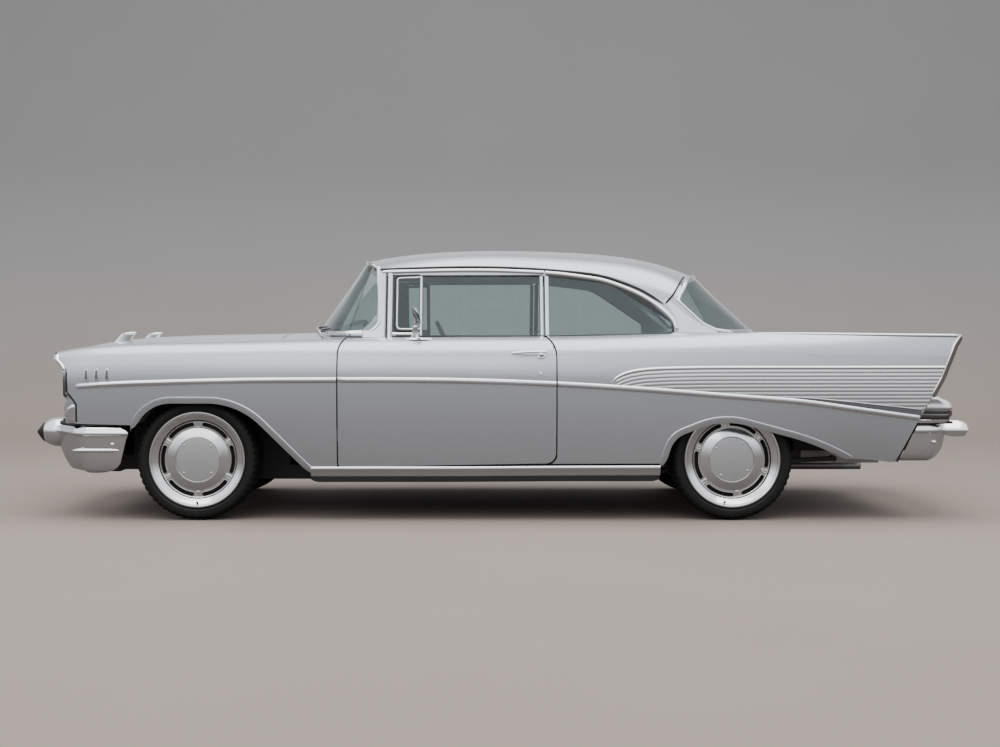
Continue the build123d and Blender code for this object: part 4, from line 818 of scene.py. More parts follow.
# ---- wheels and tyres ----
# closed outlines of (reach outwards from the wheel's middle, radius)
RIM = [(-96, 232), (-112, 239), (-118, 248), (-119, 257), (-115, 260), (-109, 257), (-104, 248), (-60, 246),
       (60, 246), (104, 248), (109, 257), (115, 260), (119, 257), (119.5, 251), (116, 245), (111, 243),
       (109, 241), (97, 216), (95, 213.5), (92, 212.5), (58, 212.5), (56, 214), (40, 216)]
BEVEL = [(62, 118.6), (97.5, 118.6), (98.8, 119.4), (99.2, 121), (98.6, 122.6), (97, 124), (86.5, 165),
         (85.5, 167.5), (83, 169), (62, 169)]
CAP = [(60, 0), (97.8, 0), (97.8, 112), (97.4, 116), (95.6, 118), (60, 118)]
# painted shade: a black disc behind the wheel's face, dark in the groove between the rim and the slotted ring
WELL_PAINTED_SHADE = [(16, 60), (46, 60), (46, 214), (16, 214)]
RING_EDGE = [(60, 203.5), (81, 203.5), (83.5, 204.5), (84, 206), (83, 207.4), (60, 207.4)]
SLOT_MID, SLOT_HALF, SLOT_END = 190.5, 67.0, 9.5
FACE_REACH = 80.0


def stadium(grow, straight=22, turn=14):
    """A round-ended slot's loop as (length round the ring, radius from its middle), grown outwards."""
    r = SLOT_END + grow
    run = np.linspace(-SLOT_HALF, SLOT_HALF, straight, endpoint=False)
    k = np.linspace(-math.pi / 2, math.pi / 2, turn, endpoint=False)
    return np.concatenate([cols(run, -r),
                           cols(SLOT_HALF + r * np.cos(k), r * np.sin(k)),
                           cols(-run, r),
                           cols(-SLOT_HALF - r * np.cos(k), -r * np.sin(k))])


def sector(straight=22, turn=14):
    """The loop of the sixth of the ring round a slot, its points matching the slot's."""
    half, low, high = SLOT_MID * math.pi / 6, 168.0 - SLOT_MID, 204.5 - SLOT_MID
    run = np.linspace(-half, half, straight, endpoint=False)
    rise = np.linspace(low, high, turn, endpoint=False)
    return np.concatenate([cols(run, low), cols(half, rise),
                           cols(-run, high), cols(-half, low + high - rise)])


def on_wheel(loops, angle, centre):
    """Loops of (length round, radius from the slots' middle, reach) turned into place about the axle line."""
    a, b, reach = np.moveaxis(np.asarray(loops, float), -1, 0)
    k = a / SLOT_MID + angle
    r = SLOT_MID + b
    return cols(centre[0] + r * np.cos(k), centre[1] - reach, centre[2] + r * np.sin(k))


def wheel_face(centre, turn):
    """The slotted ring of the wheel: six cells, each with a rimmed slot, and a block between each two."""
    outer, plain = sector(), [stadium(g) for g in (3.4, 2.6, 0.9, 0.0)]
    loops = [lifted(outer, 62), lifted(outer, FACE_REACH), lifted(plain[0], FACE_REACH),
             lifted(plain[1], FACE_REACH + 2.4), lifted(plain[2], FACE_REACH + 2.4),
             lifted(plain[3], FACE_REACH), lifted(plain[3], 62)]
    block = oval(26, 34, 40, 6.0) - (0, 3.5)
    levels = [(1.0, 1.0, 78), (1.0, 1.0, 82), (0.93, 0.95, 84.6), (0.84, 0.9, 85.4), (0.62, 0.8, 85.2),
              (0.5, 0.74, 83), (0.34, 0.7, 82.6), (0.26, 0.66, 84.2)]
    blocks = [lifted(block * (u, v), reach) for u, v, reach in levels]
    shapes = []
    for i in range(6):
        shapes.append(loft(on_wheel(loops, turn + math.radians(60 * i), centre), True))
        shapes.append(loft(on_wheel(blocks, turn + math.radians(30 + 60 * i), centre)))
    return join(*shapes)


TYRE = [(-103, 248), (-110, 262), (-116, 274), (-119, 286), (-118.5, 297), (-117.6, 298.5), (-118, 300),
        (-114, 309), (-113, 310.6), (-112, 311), (-103, 319), (-92, 324.5), (-80, 325.6), (-68, 326.2),
        (-67, 318.8), (-60, 318.8), (-59, 326.5), (-30, 326.9), (-29, 319.5), (-21, 319.5), (-20, 327.0),
        (20, 327.0), (21, 319.5), (29, 319.5), (30, 326.9), (59, 326.5), (60, 318.8), (67, 318.8),
        (68, 326.2), (80, 325.6), (92, 324.5), (103, 319), (112, 311), (113, 310.6), (114, 309), (118, 300),
        (117.6, 298.5), (118.5, 297), (119, 286), (118.6, 280), (119.4, 279), (119.4, 276), (118.4, 275),
        (116, 270), (113.4, 266.5), (113.6, 264), (110, 260), (103, 248)]


def tyre(centre, blocks=54):
    """A tyre with shoulder blocks: its radius drops by 5 mm in the gaps between the blocks, and by 2.2 mm on
    the ribs of its tread."""
    n = blocks * 6
    k = np.arange(n) * 2 * math.pi / n
    reach, radius = np.array(TYRE).T
    gap = (np.arange(n) % 6 == 0) | (np.arange(n) % 6 == 5)
    shoulder = ((np.abs(reach) > 70) & (radius > 308)).astype(float) * 5
    rib = ((np.abs(reach) < 59) & (radius > 326.4)).astype(float) * 2.2
    r = radius[None] - gap[:, None] * (shoulder + rib)[None]
    return loft(cols(centre[0] + r * np.cos(k)[:, None], centre[1] - reach,
                     centre[2] + r * np.sin(k)[:, None]), True)


def dome(centre, axis, radius, height, turns=20):
    """A small round head: a quarter circle turned about its axis, sunk a little at its foot."""
    k = np.linspace(0, math.pi / 2, 7)
    arc = [(height * math.sin(a), radius * math.cos(a)) for a in k[:-1]]
    return revolve([(-2, 0), (-2, radius), *arc, (height, 0)], centre, axis, turns)


for end, x_axle, roll in (("front", XF, 0.0), ("rear", XR, 10.0)):
    hub = np.array([x_axle, -Y_WHEEL, Z_AXLE])
    out = (0, -1, 0)
    turn = math.radians(roll)
    slope = math.sin(turn), math.cos(turn)
    rim = join(revolve(RIM, hub, out, 120), revolve(RING_EDGE, hub, out, 120))
    valve_at = hub + (-slope[0] * 230, -102, -slope[1] * 230)
    valve = revolve([(-12, 0), (-12, 4.5), (14, 4), (15, 5), (24, 5), (25, 3.5), (25, 0)], valve_at, out, 16)
    rivets = join(*[dome(hub + (104 * math.cos(a), -97.4, 104 * math.sin(a)), out, 6.5, 2.2)
                    for a in (turn + math.radians(45 + 90 * i) for i in range(4))])
    for side, hand in SIDES:
        wheel_node, tyre_node = f"wheel_{end}_{hand}", f"tyre_{end}_{hand}"
        parts = [("rim", rim, ALLOY, "wheel_metal", [wheel_node]),
                 ("face", wheel_face(hub, turn), ALLOY, "wheel_metal", []),
                 ("bevel", revolve(BEVEL, hub, out, 128), ALLOY, "wheel_metal", []),
                 ("cap", revolve(CAP, hub, out, 96), ALLOY_SATIN, "wheel_metal", []),
                 ("rivets", rivets, ALLOY, "wheel_metal", []),
                 ("well_painted_shade", revolve(WELL_PAINTED_SHADE, hub, out, 64), GASKET, "wheel_metal", []),
                 ("valve", valve, GASKET, "tyre_rubber", []),
                 ("tyre", tyre(hub), RUBBER, "tyre_rubber", [tyre_node])]
        for kind, shape, material, slot, replaced in parts:
            piece(f"{kind}_{end}_{hand}", mirrored(shape, side), material, wheel_node, slot,
                  crease=30.0, replaces=replaced)


# ---- bumpers ----
# a plan has (x, y, corner radius), a section (outwards, height), and a trim (height, length taken off an end)
def bumper(plan, section, trim, front_lean):
    """A wrap-round bumper: its section, of (outwards, height), is carried along a rounded plan line, each end
    being trimmed by a length that depends on height, and its lower edge leans in more where it faces along
    the car."""
    line = along(rounded(plan, arc=14), 10)
    run = distance_along(line)
    section = np.asarray(section, float)
    cut = np.interp(section[:, 1], *np.array(sorted(trim)).T)
    u = np.linspace(0, 1, len(line))
    s = cut[None] + (run[-1] - 2 * cut[None]) * u[:, None]
    x, y = (np.interp(s, run, line[:, k]) for k in (0, 1))
    t = unit(cols(np.gradient(x, axis=0), np.gradient(y, axis=0)))
    n = cols(t[..., 1], -t[..., 0])
    lean = front_lean * np.clip((470 - section[:, 1]) / 200, 0, 1) ** 1.3
    o = section[None, :, 0] - lean[None] * np.abs(n[..., 0]) ** 1.5
    z = section[:, 1]
    face = cols(x + n[..., 0] * o, y + n[..., 1] * o, z)
    back = cols(x + n[..., 0] * (o - 5), y + n[..., 1] * (o - 5), z)
    return slab(face, back)


W_BUMPER, W_BUMPER_REAR = 886.0, 872.0
FRONT_PLAN = [(-1970, W_BUMPER, 0), (-2258, W_BUMPER, 130), (-2472, 560, 260), (-2492, 0, 900),
              (-2472, -560, 260), (-2258, -W_BUMPER, 130), (-1970, -W_BUMPER, 0)]
FRONT_SECTION = [(-34, 502), (-22, 506), (-12, 504.5), (-5, 500), (0, 493), (4, 483), (7, 473), (8, 467),
                 (7, 463), (3.5, 460), (0, 457), (-2, 452), (-3.5, 440), (-5.5, 420), (-8, 400), (-10, 380),
                 (-12, 360), (-15, 335), (-19, 310), (-25, 288), (-33, 270), (-44, 258), (-58, 254.5)]
FRONT_TRIM = [(254, 185), (260, 118), (279, 81), (305, 57), (336, 49), (440, 22), (470, 8), (478, 14),
              (490, 30), (498, 54), (506, 80)]
piece("front_bumper_bar", bumper(FRONT_PLAN, FRONT_SECTION, FRONT_TRIM, 52), CHROME,
      replaces=["front_bumper"])
SEAL_SECTION = [(-64, 505), (-20, 508), (-16, 512), (-17, 521), (-30, 523)]
piece("front_bumper_seal", bumper(FRONT_PLAN, SEAL_SECTION, [(500, 96), (524, 96)], 0), GASKET)
BULLET = [(2409, 0), (2409, 76), (2414, 80), (2445, 81), (2470, 78.5), (2492, 72), (2512, 61), (2520, 55),
          (2523, 50), (2523, 0)]
BULLET_TIP = [(2521, 0), (2521, 53.5), (2526, 54.5), (2538, 42), (2551, 26.5), (2562, 12.5), (2567.5, 5),
              (2569.6, 0)]
both_sides("bumper_bullet", revolve(BULLET, (0, -540, 458), (-1, 0, 0)), CHROME)
both_sides("bullet_tip", revolve(BULLET_TIP, (0, -540, 458), (-1, 0, 0), 64), GASKET, slot="bright_chrome")


def side_rib(x0, x1, z, width, height, surface_w):
    """A raised rib with pointed ends pressed in the bumper's side."""
    x = np.linspace(x0, x1, 60)
    return sweep(cols(x, -surface_w, z), dome_section(width, height, 10, 0.0, 11, 2.0),
                 (0, -1, 0.25), tapered(60, 0.14, 0.14, 0.1))


both_sides("bumper_rib", side_rib(-2281, -2032, 378, 24, 8, W_BUMPER - 11), CHROME)
both_sides("bumper_bolt", dome((-2067, -880, 410), (0, -1, 0), 11, 6), CHROME)
# the iron between bumper and frame
both_sides("bumper_iron", sweep([(-2430, -405, 340), (-2390, -405, 300), (-2250, -405, 290)],
                                oval(60, 12, 24, 5), (0.3, 0, 1)), FRAME_BLACK)

REAR_PLAN = [(2152, -W_BUMPER_REAR, 0), (2372, -W_BUMPER_REAR, 110), (2478, -640, 200), (2530, 0, 2000),
             (2478, 640, 200), (2372, W_BUMPER_REAR, 110), (2152, W_BUMPER_REAR, 0)]
REAR_SECTION = [(-36, 516), (-20, 520), (-8, 519.5), (0, 516), (6, 508), (10, 498), (12, 488), (12.5, 481),
                (10.5, 477), (3, 473.5), (-1, 470), (-2.5, 460), (-4, 440), (-6, 415), (-9, 390), (-14, 365),
                (-24, 342), (-38, 326), (-52, 320)]
REAR_TRIM = [(318, 24), (325, 10), (476, 78), (503, 92), (512, 102), (520, 124)]
piece("rear_bumper_bar", bumper(REAR_PLAN, REAR_SECTION, REAR_TRIM, 30), CHROME, replaces=["rear_bumper"])
# height, front and rear ends, and how far the guard reaches across the car
GUARD = [(446, 2470, 2542, 752), (450, 2456, 2550, 760), (476, 2420, 2564, 770), (481, 2404, 2567, 771),
         (486, 2402, 2567.5, 769), (512, 2402, 2564, 752), (524, 2404, 2552, 742), (531, 2410, 2534, 734)]


def guard():
    """An over-rider on the bumper: rounded level slices that lean in above and below a crease."""
    slices = []
    for z, front, rear, wide in GUARD:
        r = min(26.0, (rear - front) * 0.4)
        ring = rounded([(front, -wide, 3), (rear, -wide, r), (rear, -668, r), (front, -668, 3)], closed=True,
                       arc=8)
        slices.append(lifted(ring, z))
    return loft(np.stack(slices))


gap_line = along([(2141, 318, 0), (2224, 500, 0), (2236, 518, 0), (2252, 523, 0), (2440, 529, 0)], 12)
gap_path = cols(gap_line[:, 0], 3 - W_BUMPER_REAR, gap_line[:, 1])
both_sides("rear_bumper_gap", sweep(gap_path, dome_section(13, 3, 12, 0.8, 5), (0, -1, 0)), GASKET)
both_sides("rear_guard", guard(), CHROME, crease=30)
both_sides("rear_bolt", dome((2342, -867, 422), (0, -1, 0), 11, 6), CHROME)


# ---- headlamps, grille and nose ----
X_LAMP_BACK = XF - 690.0
LAMP_FRONT = [(XF - 702, 651), (XF - 706, 656), (XF - 719, 676), (XF - 719, 800), (XF - 740, 832),
              (XF - 776, 866), (XF - 779, 893)]
FENDER_FRONT = [(XF - 646, 525), (XF - 646, 625), (XF - 697, 690), (XF - 702, 803), (XF - 776, 900)]


def front_skin(z, x_front, x_back, thick=7.0, inset=0.0, columns=14):
    """A strip of the body's surface between two front-view lines, with thickness."""
    u = np.linspace(0, 1, columns)[None]
    x = x_front[:, None] * (1 - u) + x_back[:, None] * u
    base, normal = on_side(cols(x, z[:, None]), body_half_width)
    return slab(base - normal * inset, base - normal * (thick + inset))


def edge_x(table, z):
    """Where a front-view line of (x, z) points lies at height z."""
    return np.interp(z, *np.array([(b, a) for a, b in table]).T)


z_hood = np.concatenate([np.linspace(652, 800, 24), np.linspace(806, 892, 24)])
hood_front, hood_back = edge_x(LAMP_FRONT, z_hood), edge_x(FENDER_FRONT, z_hood) - 4
hood_front = np.minimum(hood_front, hood_back - 3)
both_sides("lamp_hood", front_skin(z_hood, hood_front, hood_back, 8.0), CHROME, replaces=["headlamps"])
LAMP_LOW = [(-2322, 526), (-2330, 562), (-2332, 600), (-2328, 622), (-2319, 642), (-2306, 660)]
z_low = np.linspace(524, 660, 30)
both_sides("lamp_lower", front_skin(z_low, edge_x(LAMP_LOW, z_low), np.full(30, XF - 648.0), 8.0), PAINT)


def evenly(line, count):
    """Points picked at even steps from a side-view line."""
    line = along(line, 1.0)
    return line[np.linspace(0, len(line) - 1, count).round().astype(int)]


def ruled(line_a, line_b, u, count):
    """The side-view grid between two lines, u running from 0 at the first to 1 at the second."""
    return evenly(line_a, count)[:, None] * (1 - u) + evenly(line_b, count)[:, None] * u


def crowned_patch(line_a, line_b, surface, rise, sunk=3.0, count=30, rows=13):
    """A bezel between two side-view lines, crowned like a cushion by 1 - v^2, v from -1 to 1 across it."""
    u = np.linspace(0, 1, rows)[None, :, None]
    base, normal = on_side(ruled(line_a, line_b, u, count), surface)
    t = np.linspace(-1, 1, count)[:, None, None]
    crown = rise * (1 - (2 * u - 1) ** 2) * (1 - t ** 8)
    return slab(base + normal * crown, base - normal * sunk)


both_sides("lamp_lower_bright", crowned_patch([(-2316, 527), (-2322, 570), (-2312, 604), (-2290, 622)],
                                              [(-2268, 527), (-2268, 560), (-2268, 600), (-2274, 622)],
                                              body_half_width, 7.0), CHROME)
HOOD_TOP = [(-2396, 892), (-2393, 866), (-2358, 832), (-2338, 803)]
HOOD_LOW = [(-2336, 800), (-2336, 680), (-2326, 660)]
both_sides("lamp_brow", crowned_patch(HOOD_TOP, [(-2370, 904), (-2366, 870), (-2334, 836), (-2322, 806)],
                                      body_half_width, 7.0), CHROME)
both_sides("lamp_cheek", crowned_patch(HOOD_LOW, [(-2322, 802), (-2318, 690), (-2306, 672)], body_half_width,
                                       4.0), PAINTED_SHADE_CHROME)
seam = [(XF - 776, 902), (XF - 699, 805), (XF - 694, 692), (XF - 645, 627), (XF - 645, 530)]
both_sides("lamp_seam", side_moulding(along(rounded([(*p, 16) for p in seam]), 8),
                                      dome_section(10, 2.0, 5, 0.8, 5)), GASKET)


def splash_shield():
    """A dark sheet inboard of the front wheel, between the frame and the wing's inner panel."""
    z, x = np.linspace(262, 700, 12), np.linspace(XF - 430, XF + 450, 30)
    face = cols(x[:, None], -446.0 - 6 * np.sin(x[:, None] / 60), z)
    return slab(face, face + (0, 3, 0))


both_sides("splash_shield", splash_shield(), FRAME_BLACK)


def lamp_panel():
    """The painted panel behind the headlamp, across from the grille to the body side."""
    z = np.linspace(528, 878, 30)
    outer = -(body_half_width(np.full(30, X_LAMP_BACK), z) - 9)
    u = np.linspace(0, 1, 16)[None]
    y = outer[:, None] * (1 - u) - 566 * u
    face = cols(X_LAMP_BACK - 10, y, z[:, None])
    return slab(face, face + (8, 0, 0))


both_sides("lamp_panel", lamp_panel(), PAINT)
LAMP = np.array([XF - 690, -732, 770])
LAMP_RING = [(0, 76), (28, 84), (34, 88), (38, 92), (40, 97), (37, 101), (30, 103), (0, 104)]
LAMP_LENS = [(26, 0), (52, 0), (51, 20), (48, 42), (42, 62), (34, 78), (29, 86), (26, 86)]
both_sides("headlamp_ring", revolve(LAMP_RING, LAMP, (-1, 0, 0)), CHROME)
both_sides("headlamp_lens", revolve(LAMP_LENS, LAMP, (-1, 0, 0), 72), LENS_CLEAR)

X_GRILLE = XF - 735.0


def grille_mesh():
    """Pressed grille bars: thin level bars with fine uprights behind, in a shallow arc across the car."""
    y = np.linspace(-566, 566, 40)
    x = X_GRILLE + 8 + 10 * (y / 566) ** 2
    shapes = []
    for z in np.linspace(562, 854, 27):
        shapes.append(sweep(cols(x, y, z), oval(3.4, 9, 8, 3), (1, 0, 0)))
    for y0 in np.linspace(-552, 552, 70):
        x0 = X_GRILLE + 14 + 10 * (y0 / 566) ** 2
        shapes.append(sweep([(x0, y0, 558), (x0, y0, 858)], oval(2.6, 5, 8, 3), (1, 0, 0)))
    return join(*shapes)


piece("grille_mesh", grille_mesh(), BRIGHT_TRIM, slot="grille_metal", replaces=["grille"])
piece("grille_bar", sweep(cols(X_GRILLE - 5, np.linspace(-440, 440, 30), 690), oval(44, 40, 28, 2.3),
                          (0, 0, 1)), CHROME, slot="grille_metal")
PARKING = [(0, 0), (0, 30), (8, 40), (34, 44), (44, 40), (47, 34), (47, 0)]
both_sides("parking_ring", revolve(PARKING, (X_GRILLE, -486, 690), (-1, 0, 0), 48), CHROME)
both_sides("parking_lens", revolve([(44, 0), (54, 0), (52, 16), (47, 30), (44, 32)], (X_GRILLE, -486, 690),
                                   (-1, 0, 0), 48), LENS_CLEAR)
frame_line = [(-568, 556), (-568, 858), (568, 858), (568, 556)]
loop = along(rounded([(y, z, 40) for y, z in frame_line], closed=True, arc=8), 14)
loop3 = cols(X_GRILLE + 4, loop[:, 0], loop[:, 1])
piece("grille_frame", sweep(loop3, oval(16, 14, 12, 3), (-1, 0, 0), ring=True), CHROME, slot="grille_metal")
z_back = np.linspace(560, 852, 10)
back = cols(X_GRILLE + 30.0, np.linspace(-560, 560, 20)[:, None], z_back)
piece("grille_shadow", slab(back, back + (4, 0, 0)), GASKET)


# ---- tail lamps ----
POD_REAR = [(526, 2436), (545, 2440), (560, 2445), (600, 2446), (630, 2443), (642, 2432), (650, 2412),
            (657, 2386), (663, 2370), (668, 2362)]


def pod_loop(z, grow=0.0, inner=742.0):
    """A level slice of the tail lamp pod: from the quarter's slanted edge back to a rounded outer corner."""
    front, rear = fin_edge_x(z) + 3.0, np.interp(z, *np.array(POD_REAR).T) + grow
    wide = float(body_half_width(min(front + 10, 2500.0), z)) - 3 + grow
    r = min(70.0, (rear - front) * 0.62)
    corners = [(front, -wide, 0), (rear, -wide + 4, r), (rear, -inner, 12), (front, -inner, 0)]
    return lifted(rounded(corners, closed=True, arc=12), z)


def pod(levels):
    """Level slices of the pod, each with how far it is grown, as one closed body."""
    return loft(np.stack([pod_loop(z, grow) for z, grow in levels]))


both_sides("tail_base", pod([(527, -8), (529, -4), (533, -2), (543, -1), (545, -3)]), CHROME,
           replaces=["tail_lamps"])
both_sides("tail_gasket", pod([(545, -7), (546, -5), (551, -4), (553, -5)]), GASKET, slot="tail_lens")
# painted shade: the band round the pod's side is chrome given a dark tone
both_sides("tail_band", pod([(553, -4), (556, -3), (572, -3), (574, -4), (576, -3), (598, -3), (600, -4)]),
           PAINTED_SHADE_CHROME)


def lens_dome(centre, width, height, bulge):
    """A lens: an upright superellipse whose face stands out by 1 minus its radius squared."""
    rings = [(1.0, -4.0), (1.0, 0.0)] + [(r, bulge * (1 - r ** 2)) for r in (0.92, 0.8, 0.62, 0.4, 0.2, 0.05)]
    edge = oval(width, height, 48, 4.0)
    grid = [cols(centre[0] + out, centre[1] + edge[:, 0] * r, centre[2] + edge[:, 1] * r) for r, out in rings]
    return loft(np.stack(grid))


both_sides("tail_lens", lens_dome((2443, -800, 578), 96, 40, 10), LENS_RED)
both_sides("tail_hood", pod([(600, 0), (601, 2), (604, 3), (612, 2), (622, 0), (632, -1), (640, -1),
                             (648, 0), (656, 0), (664, -1), (667, -3)]), CHROME)

# ---- glass mouldings ----
screen_moulding(WINDSCREEN, [(-658, 1374, 0), (-646, 1200, 0), (-644, 1014, 70), (-735, 1014, 0),
                             (-905, 1004, 0)], 1.0, 18, "windscreen_moulding")
screen_moulding(REAR_GLASS, [(1058, 1300, 0), (986, 1190, 30), (1132, 1050, 60), (1188, 1023, 0),
                             (1290, 1010, 0)], -1.0, 20, "rear_glass_moulding")


# ---- pillar covers, seals and glass edges ----
def between(line_a, line_b, surface=house_half_width, lift=1.5, thick=3.0, count=60, rows=6):
    """A thin plate on a side surface that fills the space between two side-view lines."""
    u = np.linspace(0, 1, rows)[None, :, None]
    base, normal = on_side(ruled(line_a, line_b, u, count), surface)
    return slab(base + normal * lift, base + normal * (lift - thick))


X_POST_EDGE = -607.0
both_sides("pillar_cover",
           between(rounded([(-655, 1366, 0), (-655, 1095, 26), (-735, 1022, 20), (-735, 985, 0)]),
                   [(X_POST_EDGE, 1366), (X_POST_EDGE, 985)]), BRIGHT_TRIM)
house_moulding("pillar_ridge", [(-622, 990), (-622, 1356)], dome_section(15, 5, 4, 0.2))
house_moulding("pillar_gap", [(-609, 980), (-609, 1345)], dome_section(8, 4.5, 4, 0.9, 5), material=GASKET)
both_sides("pillar_lining", between([(-655, 1350), (-655, 1010)], [(-609, 1350), (-609, 1010)], lift=-20),
           LINING)
both_sides("vent_lining", between([(-606, 1336), (-606, 1010)], [(-544, 1336), (-544, 1010)], lift=-20),
           LINING, "door_{}")
# painted shade: an opaque plate in the dark tone of the glass with the car's shaded inside behind it
both_sides("screen_corner", between(rounded([(-652, 1112, 0), (-652, 1024, 62), (-736, 1022, 0)], arc=14),
                                    rounded([(-657, 1118, 0), (-665, 1092, 10), (-742, 1022, 0)]), lift=2.4),
           PAINTED_SHADE_GLASS, "body", "tinted_glass")
# the quarter glass opening: a soft black seal from the drip moulding down to the glass
RAIL_INSIDE = [(266, 1331), (345, 1324), (457, 1310), (576, 1290), (690, 1252), (807, 1196), (872, 1147),
               (928, 1097), (960, 1052), (966, 1012)]
GLASS_EDGE = rounded([(266, 1322, 0), (622, 1282, 300), (951, 1066, 20), (951, 1012, 0)], arc=20)
both_sides("quarter_seal", between(through(RAIL_INSIDE, 90), GLASS_EDGE, lift=1.8, count=110), GASKET)
# bright cover on the rear pillar, between the drip moulding and the rear glass
PILLAR_FRONT = through([(905, 1186), (938, 1152), (968, 1108), (986, 1060), (990, 1012)], 50)
PILLAR_REAR = rounded([(948, 1200, 0), (976, 1190, 10), (1120, 1052, 60), (1190, 1021, 30), (1205, 1010, 0)])
both_sides("rear_pillar_cover", between(PILLAR_FRONT, PILLAR_REAR, lift=1.6), BRIGHT_TRIM)
house_moulding("rear_glass_side",
               rounded([(980, 1198, 0), (1120, 1062, 60), (1188, 1028, 30), (1285, 1014, 0)]),
               dome_section(15, 9, 4, 0.3), taper=(0.05, 0.1))
# painted shadow: a black strip for the joint between the roof and the rear glass moulding, and the shadow
# along it
PILLAR_SHADOW_LINE = np.array([(896, -679, 1178), (922, -681, 1170), (932, -688, 1182), (960, -682, 1214),
                 (990, -656, 1256), (1020, -606, 1298), (1040, -560, 1318)], float)
both_sides("pillar_shadow_line", sweep(through(PILLAR_SHADOW_LINE, 60) + (0, -2, 0), dome_section(9, 6, 8, 0.8, 5),
                                (0.1, -1, 0.3)), GASKET)


def glass_top(rows, corner, slope, shares):
    """The line where a wrapped glass meets the roof's edge, a slanted plane seen as a line from the side: the
    height is found by going back and forth between the two a few times."""
    z = np.full(len(shares), float(corner[1]))
    for _ in range(30):
        z = 0.5 * z + 0.5 * (corner[1] + (corner[0] - glass_point(rows, z, shares)[:, 0]) * slope)
    return glass_point(rows, z, shares)


def across(points):
    """A left-hand path joined to its mirror image through the car's middle."""
    return np.concatenate([points, (points * (1, -1, 1))[::-1][1:]])


EDGE_STRIP = dome_section(20, 7, 8, 0.35)
shade = across(glass_top(WINDSCREEN, (XF + 930, 1350), 0.635, np.linspace(0.84, 0, 50)))
piece("windscreen_shade", sweep(shade + (16, 0, 0), dome_section(46, 2, 4, 0.5, 5), (-1, 0, 0.45)), GASKET)
header = across(glass_top(WINDSCREEN, (XF + 956, 1366), 0.635, np.linspace(0.86, 0, 50)))
piece("windscreen_header", sweep(header, EDGE_STRIP, (-1, 0, 0.45)), GROUND_REFLECTION_CHROME)
rear_header = across(glass_top(REAR_GLASS, (1066, 1294), -0.505, np.linspace(0.72, 0, 50)))
piece("rear_glass_header", sweep(rear_header, EDGE_STRIP, (1, 0, 0.6)), GROUND_REFLECTION_CHROME)
shares = np.linspace(0.8, 0, 60)
foot = glass_point(WINDSCREEN, np.interp(shares, [0, 0.8], [1004, 1008]), shares)
piece("windscreen_foot", sweep(across(foot), dome_section(26, 9, 10, 0.4), (-1, 0, 0.35)), BRIGHT_TRIM)
front_foot = across(glass_point(WINDSCREEN, np.full(40, 1012.0), np.linspace(0.40, 0, 40)))
piece("windscreen_apron", sweep(front_foot, dome_section(24, 11, 10, 0.5), (-1, 0, 0.5),
                                tapered(79, 0.2, 0.2, 0.2)), GASKET)
foot = glass_point(REAR_GLASS, np.full(60, 1020.0), shares)
piece("rear_glass_foot", sweep(across(foot), dome_section(20, 8, 10, 0.4), (1, 0, 0.5)), BRIGHT_TRIM)

# ---- small bright parts on the body side ----
def side_point(x, z):
    """A point of the body side, and its outward normal."""
    base, normal = on_side(np.array([[x, z]], float), body_half_width)
    return base[0], normal[0]


def door_handle():
    """A pull bar that springs from the skin at its front end and runs level to a thumb button."""
    x = np.linspace(68, 262, 60)
    lift = 4 + 22 * np.clip((x - 68) / 90, 0, 1) ** 0.8
    base, normal = on_side(cols(x, 899), body_half_width)
    path = base + normal * lift[:, None]
    grip = sweep(path, oval(15, 11, 20, 2.4), normal, tapered(60, 0.35, 0.08, 0.2))
    at, n = side_point(231, 892)
    boss = [(-4, 0), (-4, 21), (4, 24), (7, 22), (8, 17), (20, 15), (27, 15), (29, 12), (30, 0)]
    return join(grip, revolve(boss, at, n, 40))


both_sides("door_handle", door_handle(), CHROME, "door_{}")
at, n = side_point(228, 794)
both_sides("door_lock", revolve([(-3, 0), (-3, 10), (2, 11), (4, 10), (4.6, 7), (3.4, 6), (3.4, 1.2), (2, 1),
                                 (2, 0)], at, n, 32), BRIGHT_TRIM, "door_{}")


def vent_mark(x0, inset=0.0):
    """An upright louvre: a rounded frame, heavier at its foot, or with an inset the dark slot within it."""
    z = np.linspace(749 + inset * 1.9, 816 - inset, 30)
    middle, reach = z.mean(), np.ptp(z) / 2 + 0.6
    half = (12.0 - inset) * np.sqrt(np.clip(1 - np.abs((z - middle) / reach) ** 6, 0.03, 1))
    u = np.linspace(-1, 1, 15)
    if inset:
        lift = np.full((len(z), len(u)), 5.6)
    else:
        upright = 1 - np.abs((z[:, None] - middle) / reach) ** 10
        lift = 0.4 + 4.6 * np.minimum(1, (1 - np.abs(u[None]) ** 4) * upright * 3)
    grid = cols(x0 + half[:, None] * u, z[:, None])
    base, normal = on_side(grid, body_half_width)
    return slab(base + normal * lift[..., None], base - normal * 3)


LOUVRES = (-2206, -2149, -2092)
# painted shade: the slots inside the louvres are chrome given a dark tone
both_sides("fender_slots", join(*[vent_mark(x, 5.0) for x in LOUVRES]), PAINTED_SHADE_CHROME)
both_sides("fender_louvres", join(*[vent_mark(x) for x in LOUVRES]), CHROME)


# ---- mirror, wipers and hood ornaments ----
def plate_loops(levels, centre, count=48, power=2.0):
    """A closed body of ovals standing up from a centre: each level is (height, length, width, shift)."""
    loops = []
    for height, length, width, shift in levels:
        ring = oval(length, width, count, power)
        loops.append(cols(centre[0] + shift + ring[:, 0], centre[1] + ring[:, 1], centre[2] + height))
    return loft(np.stack(loops))


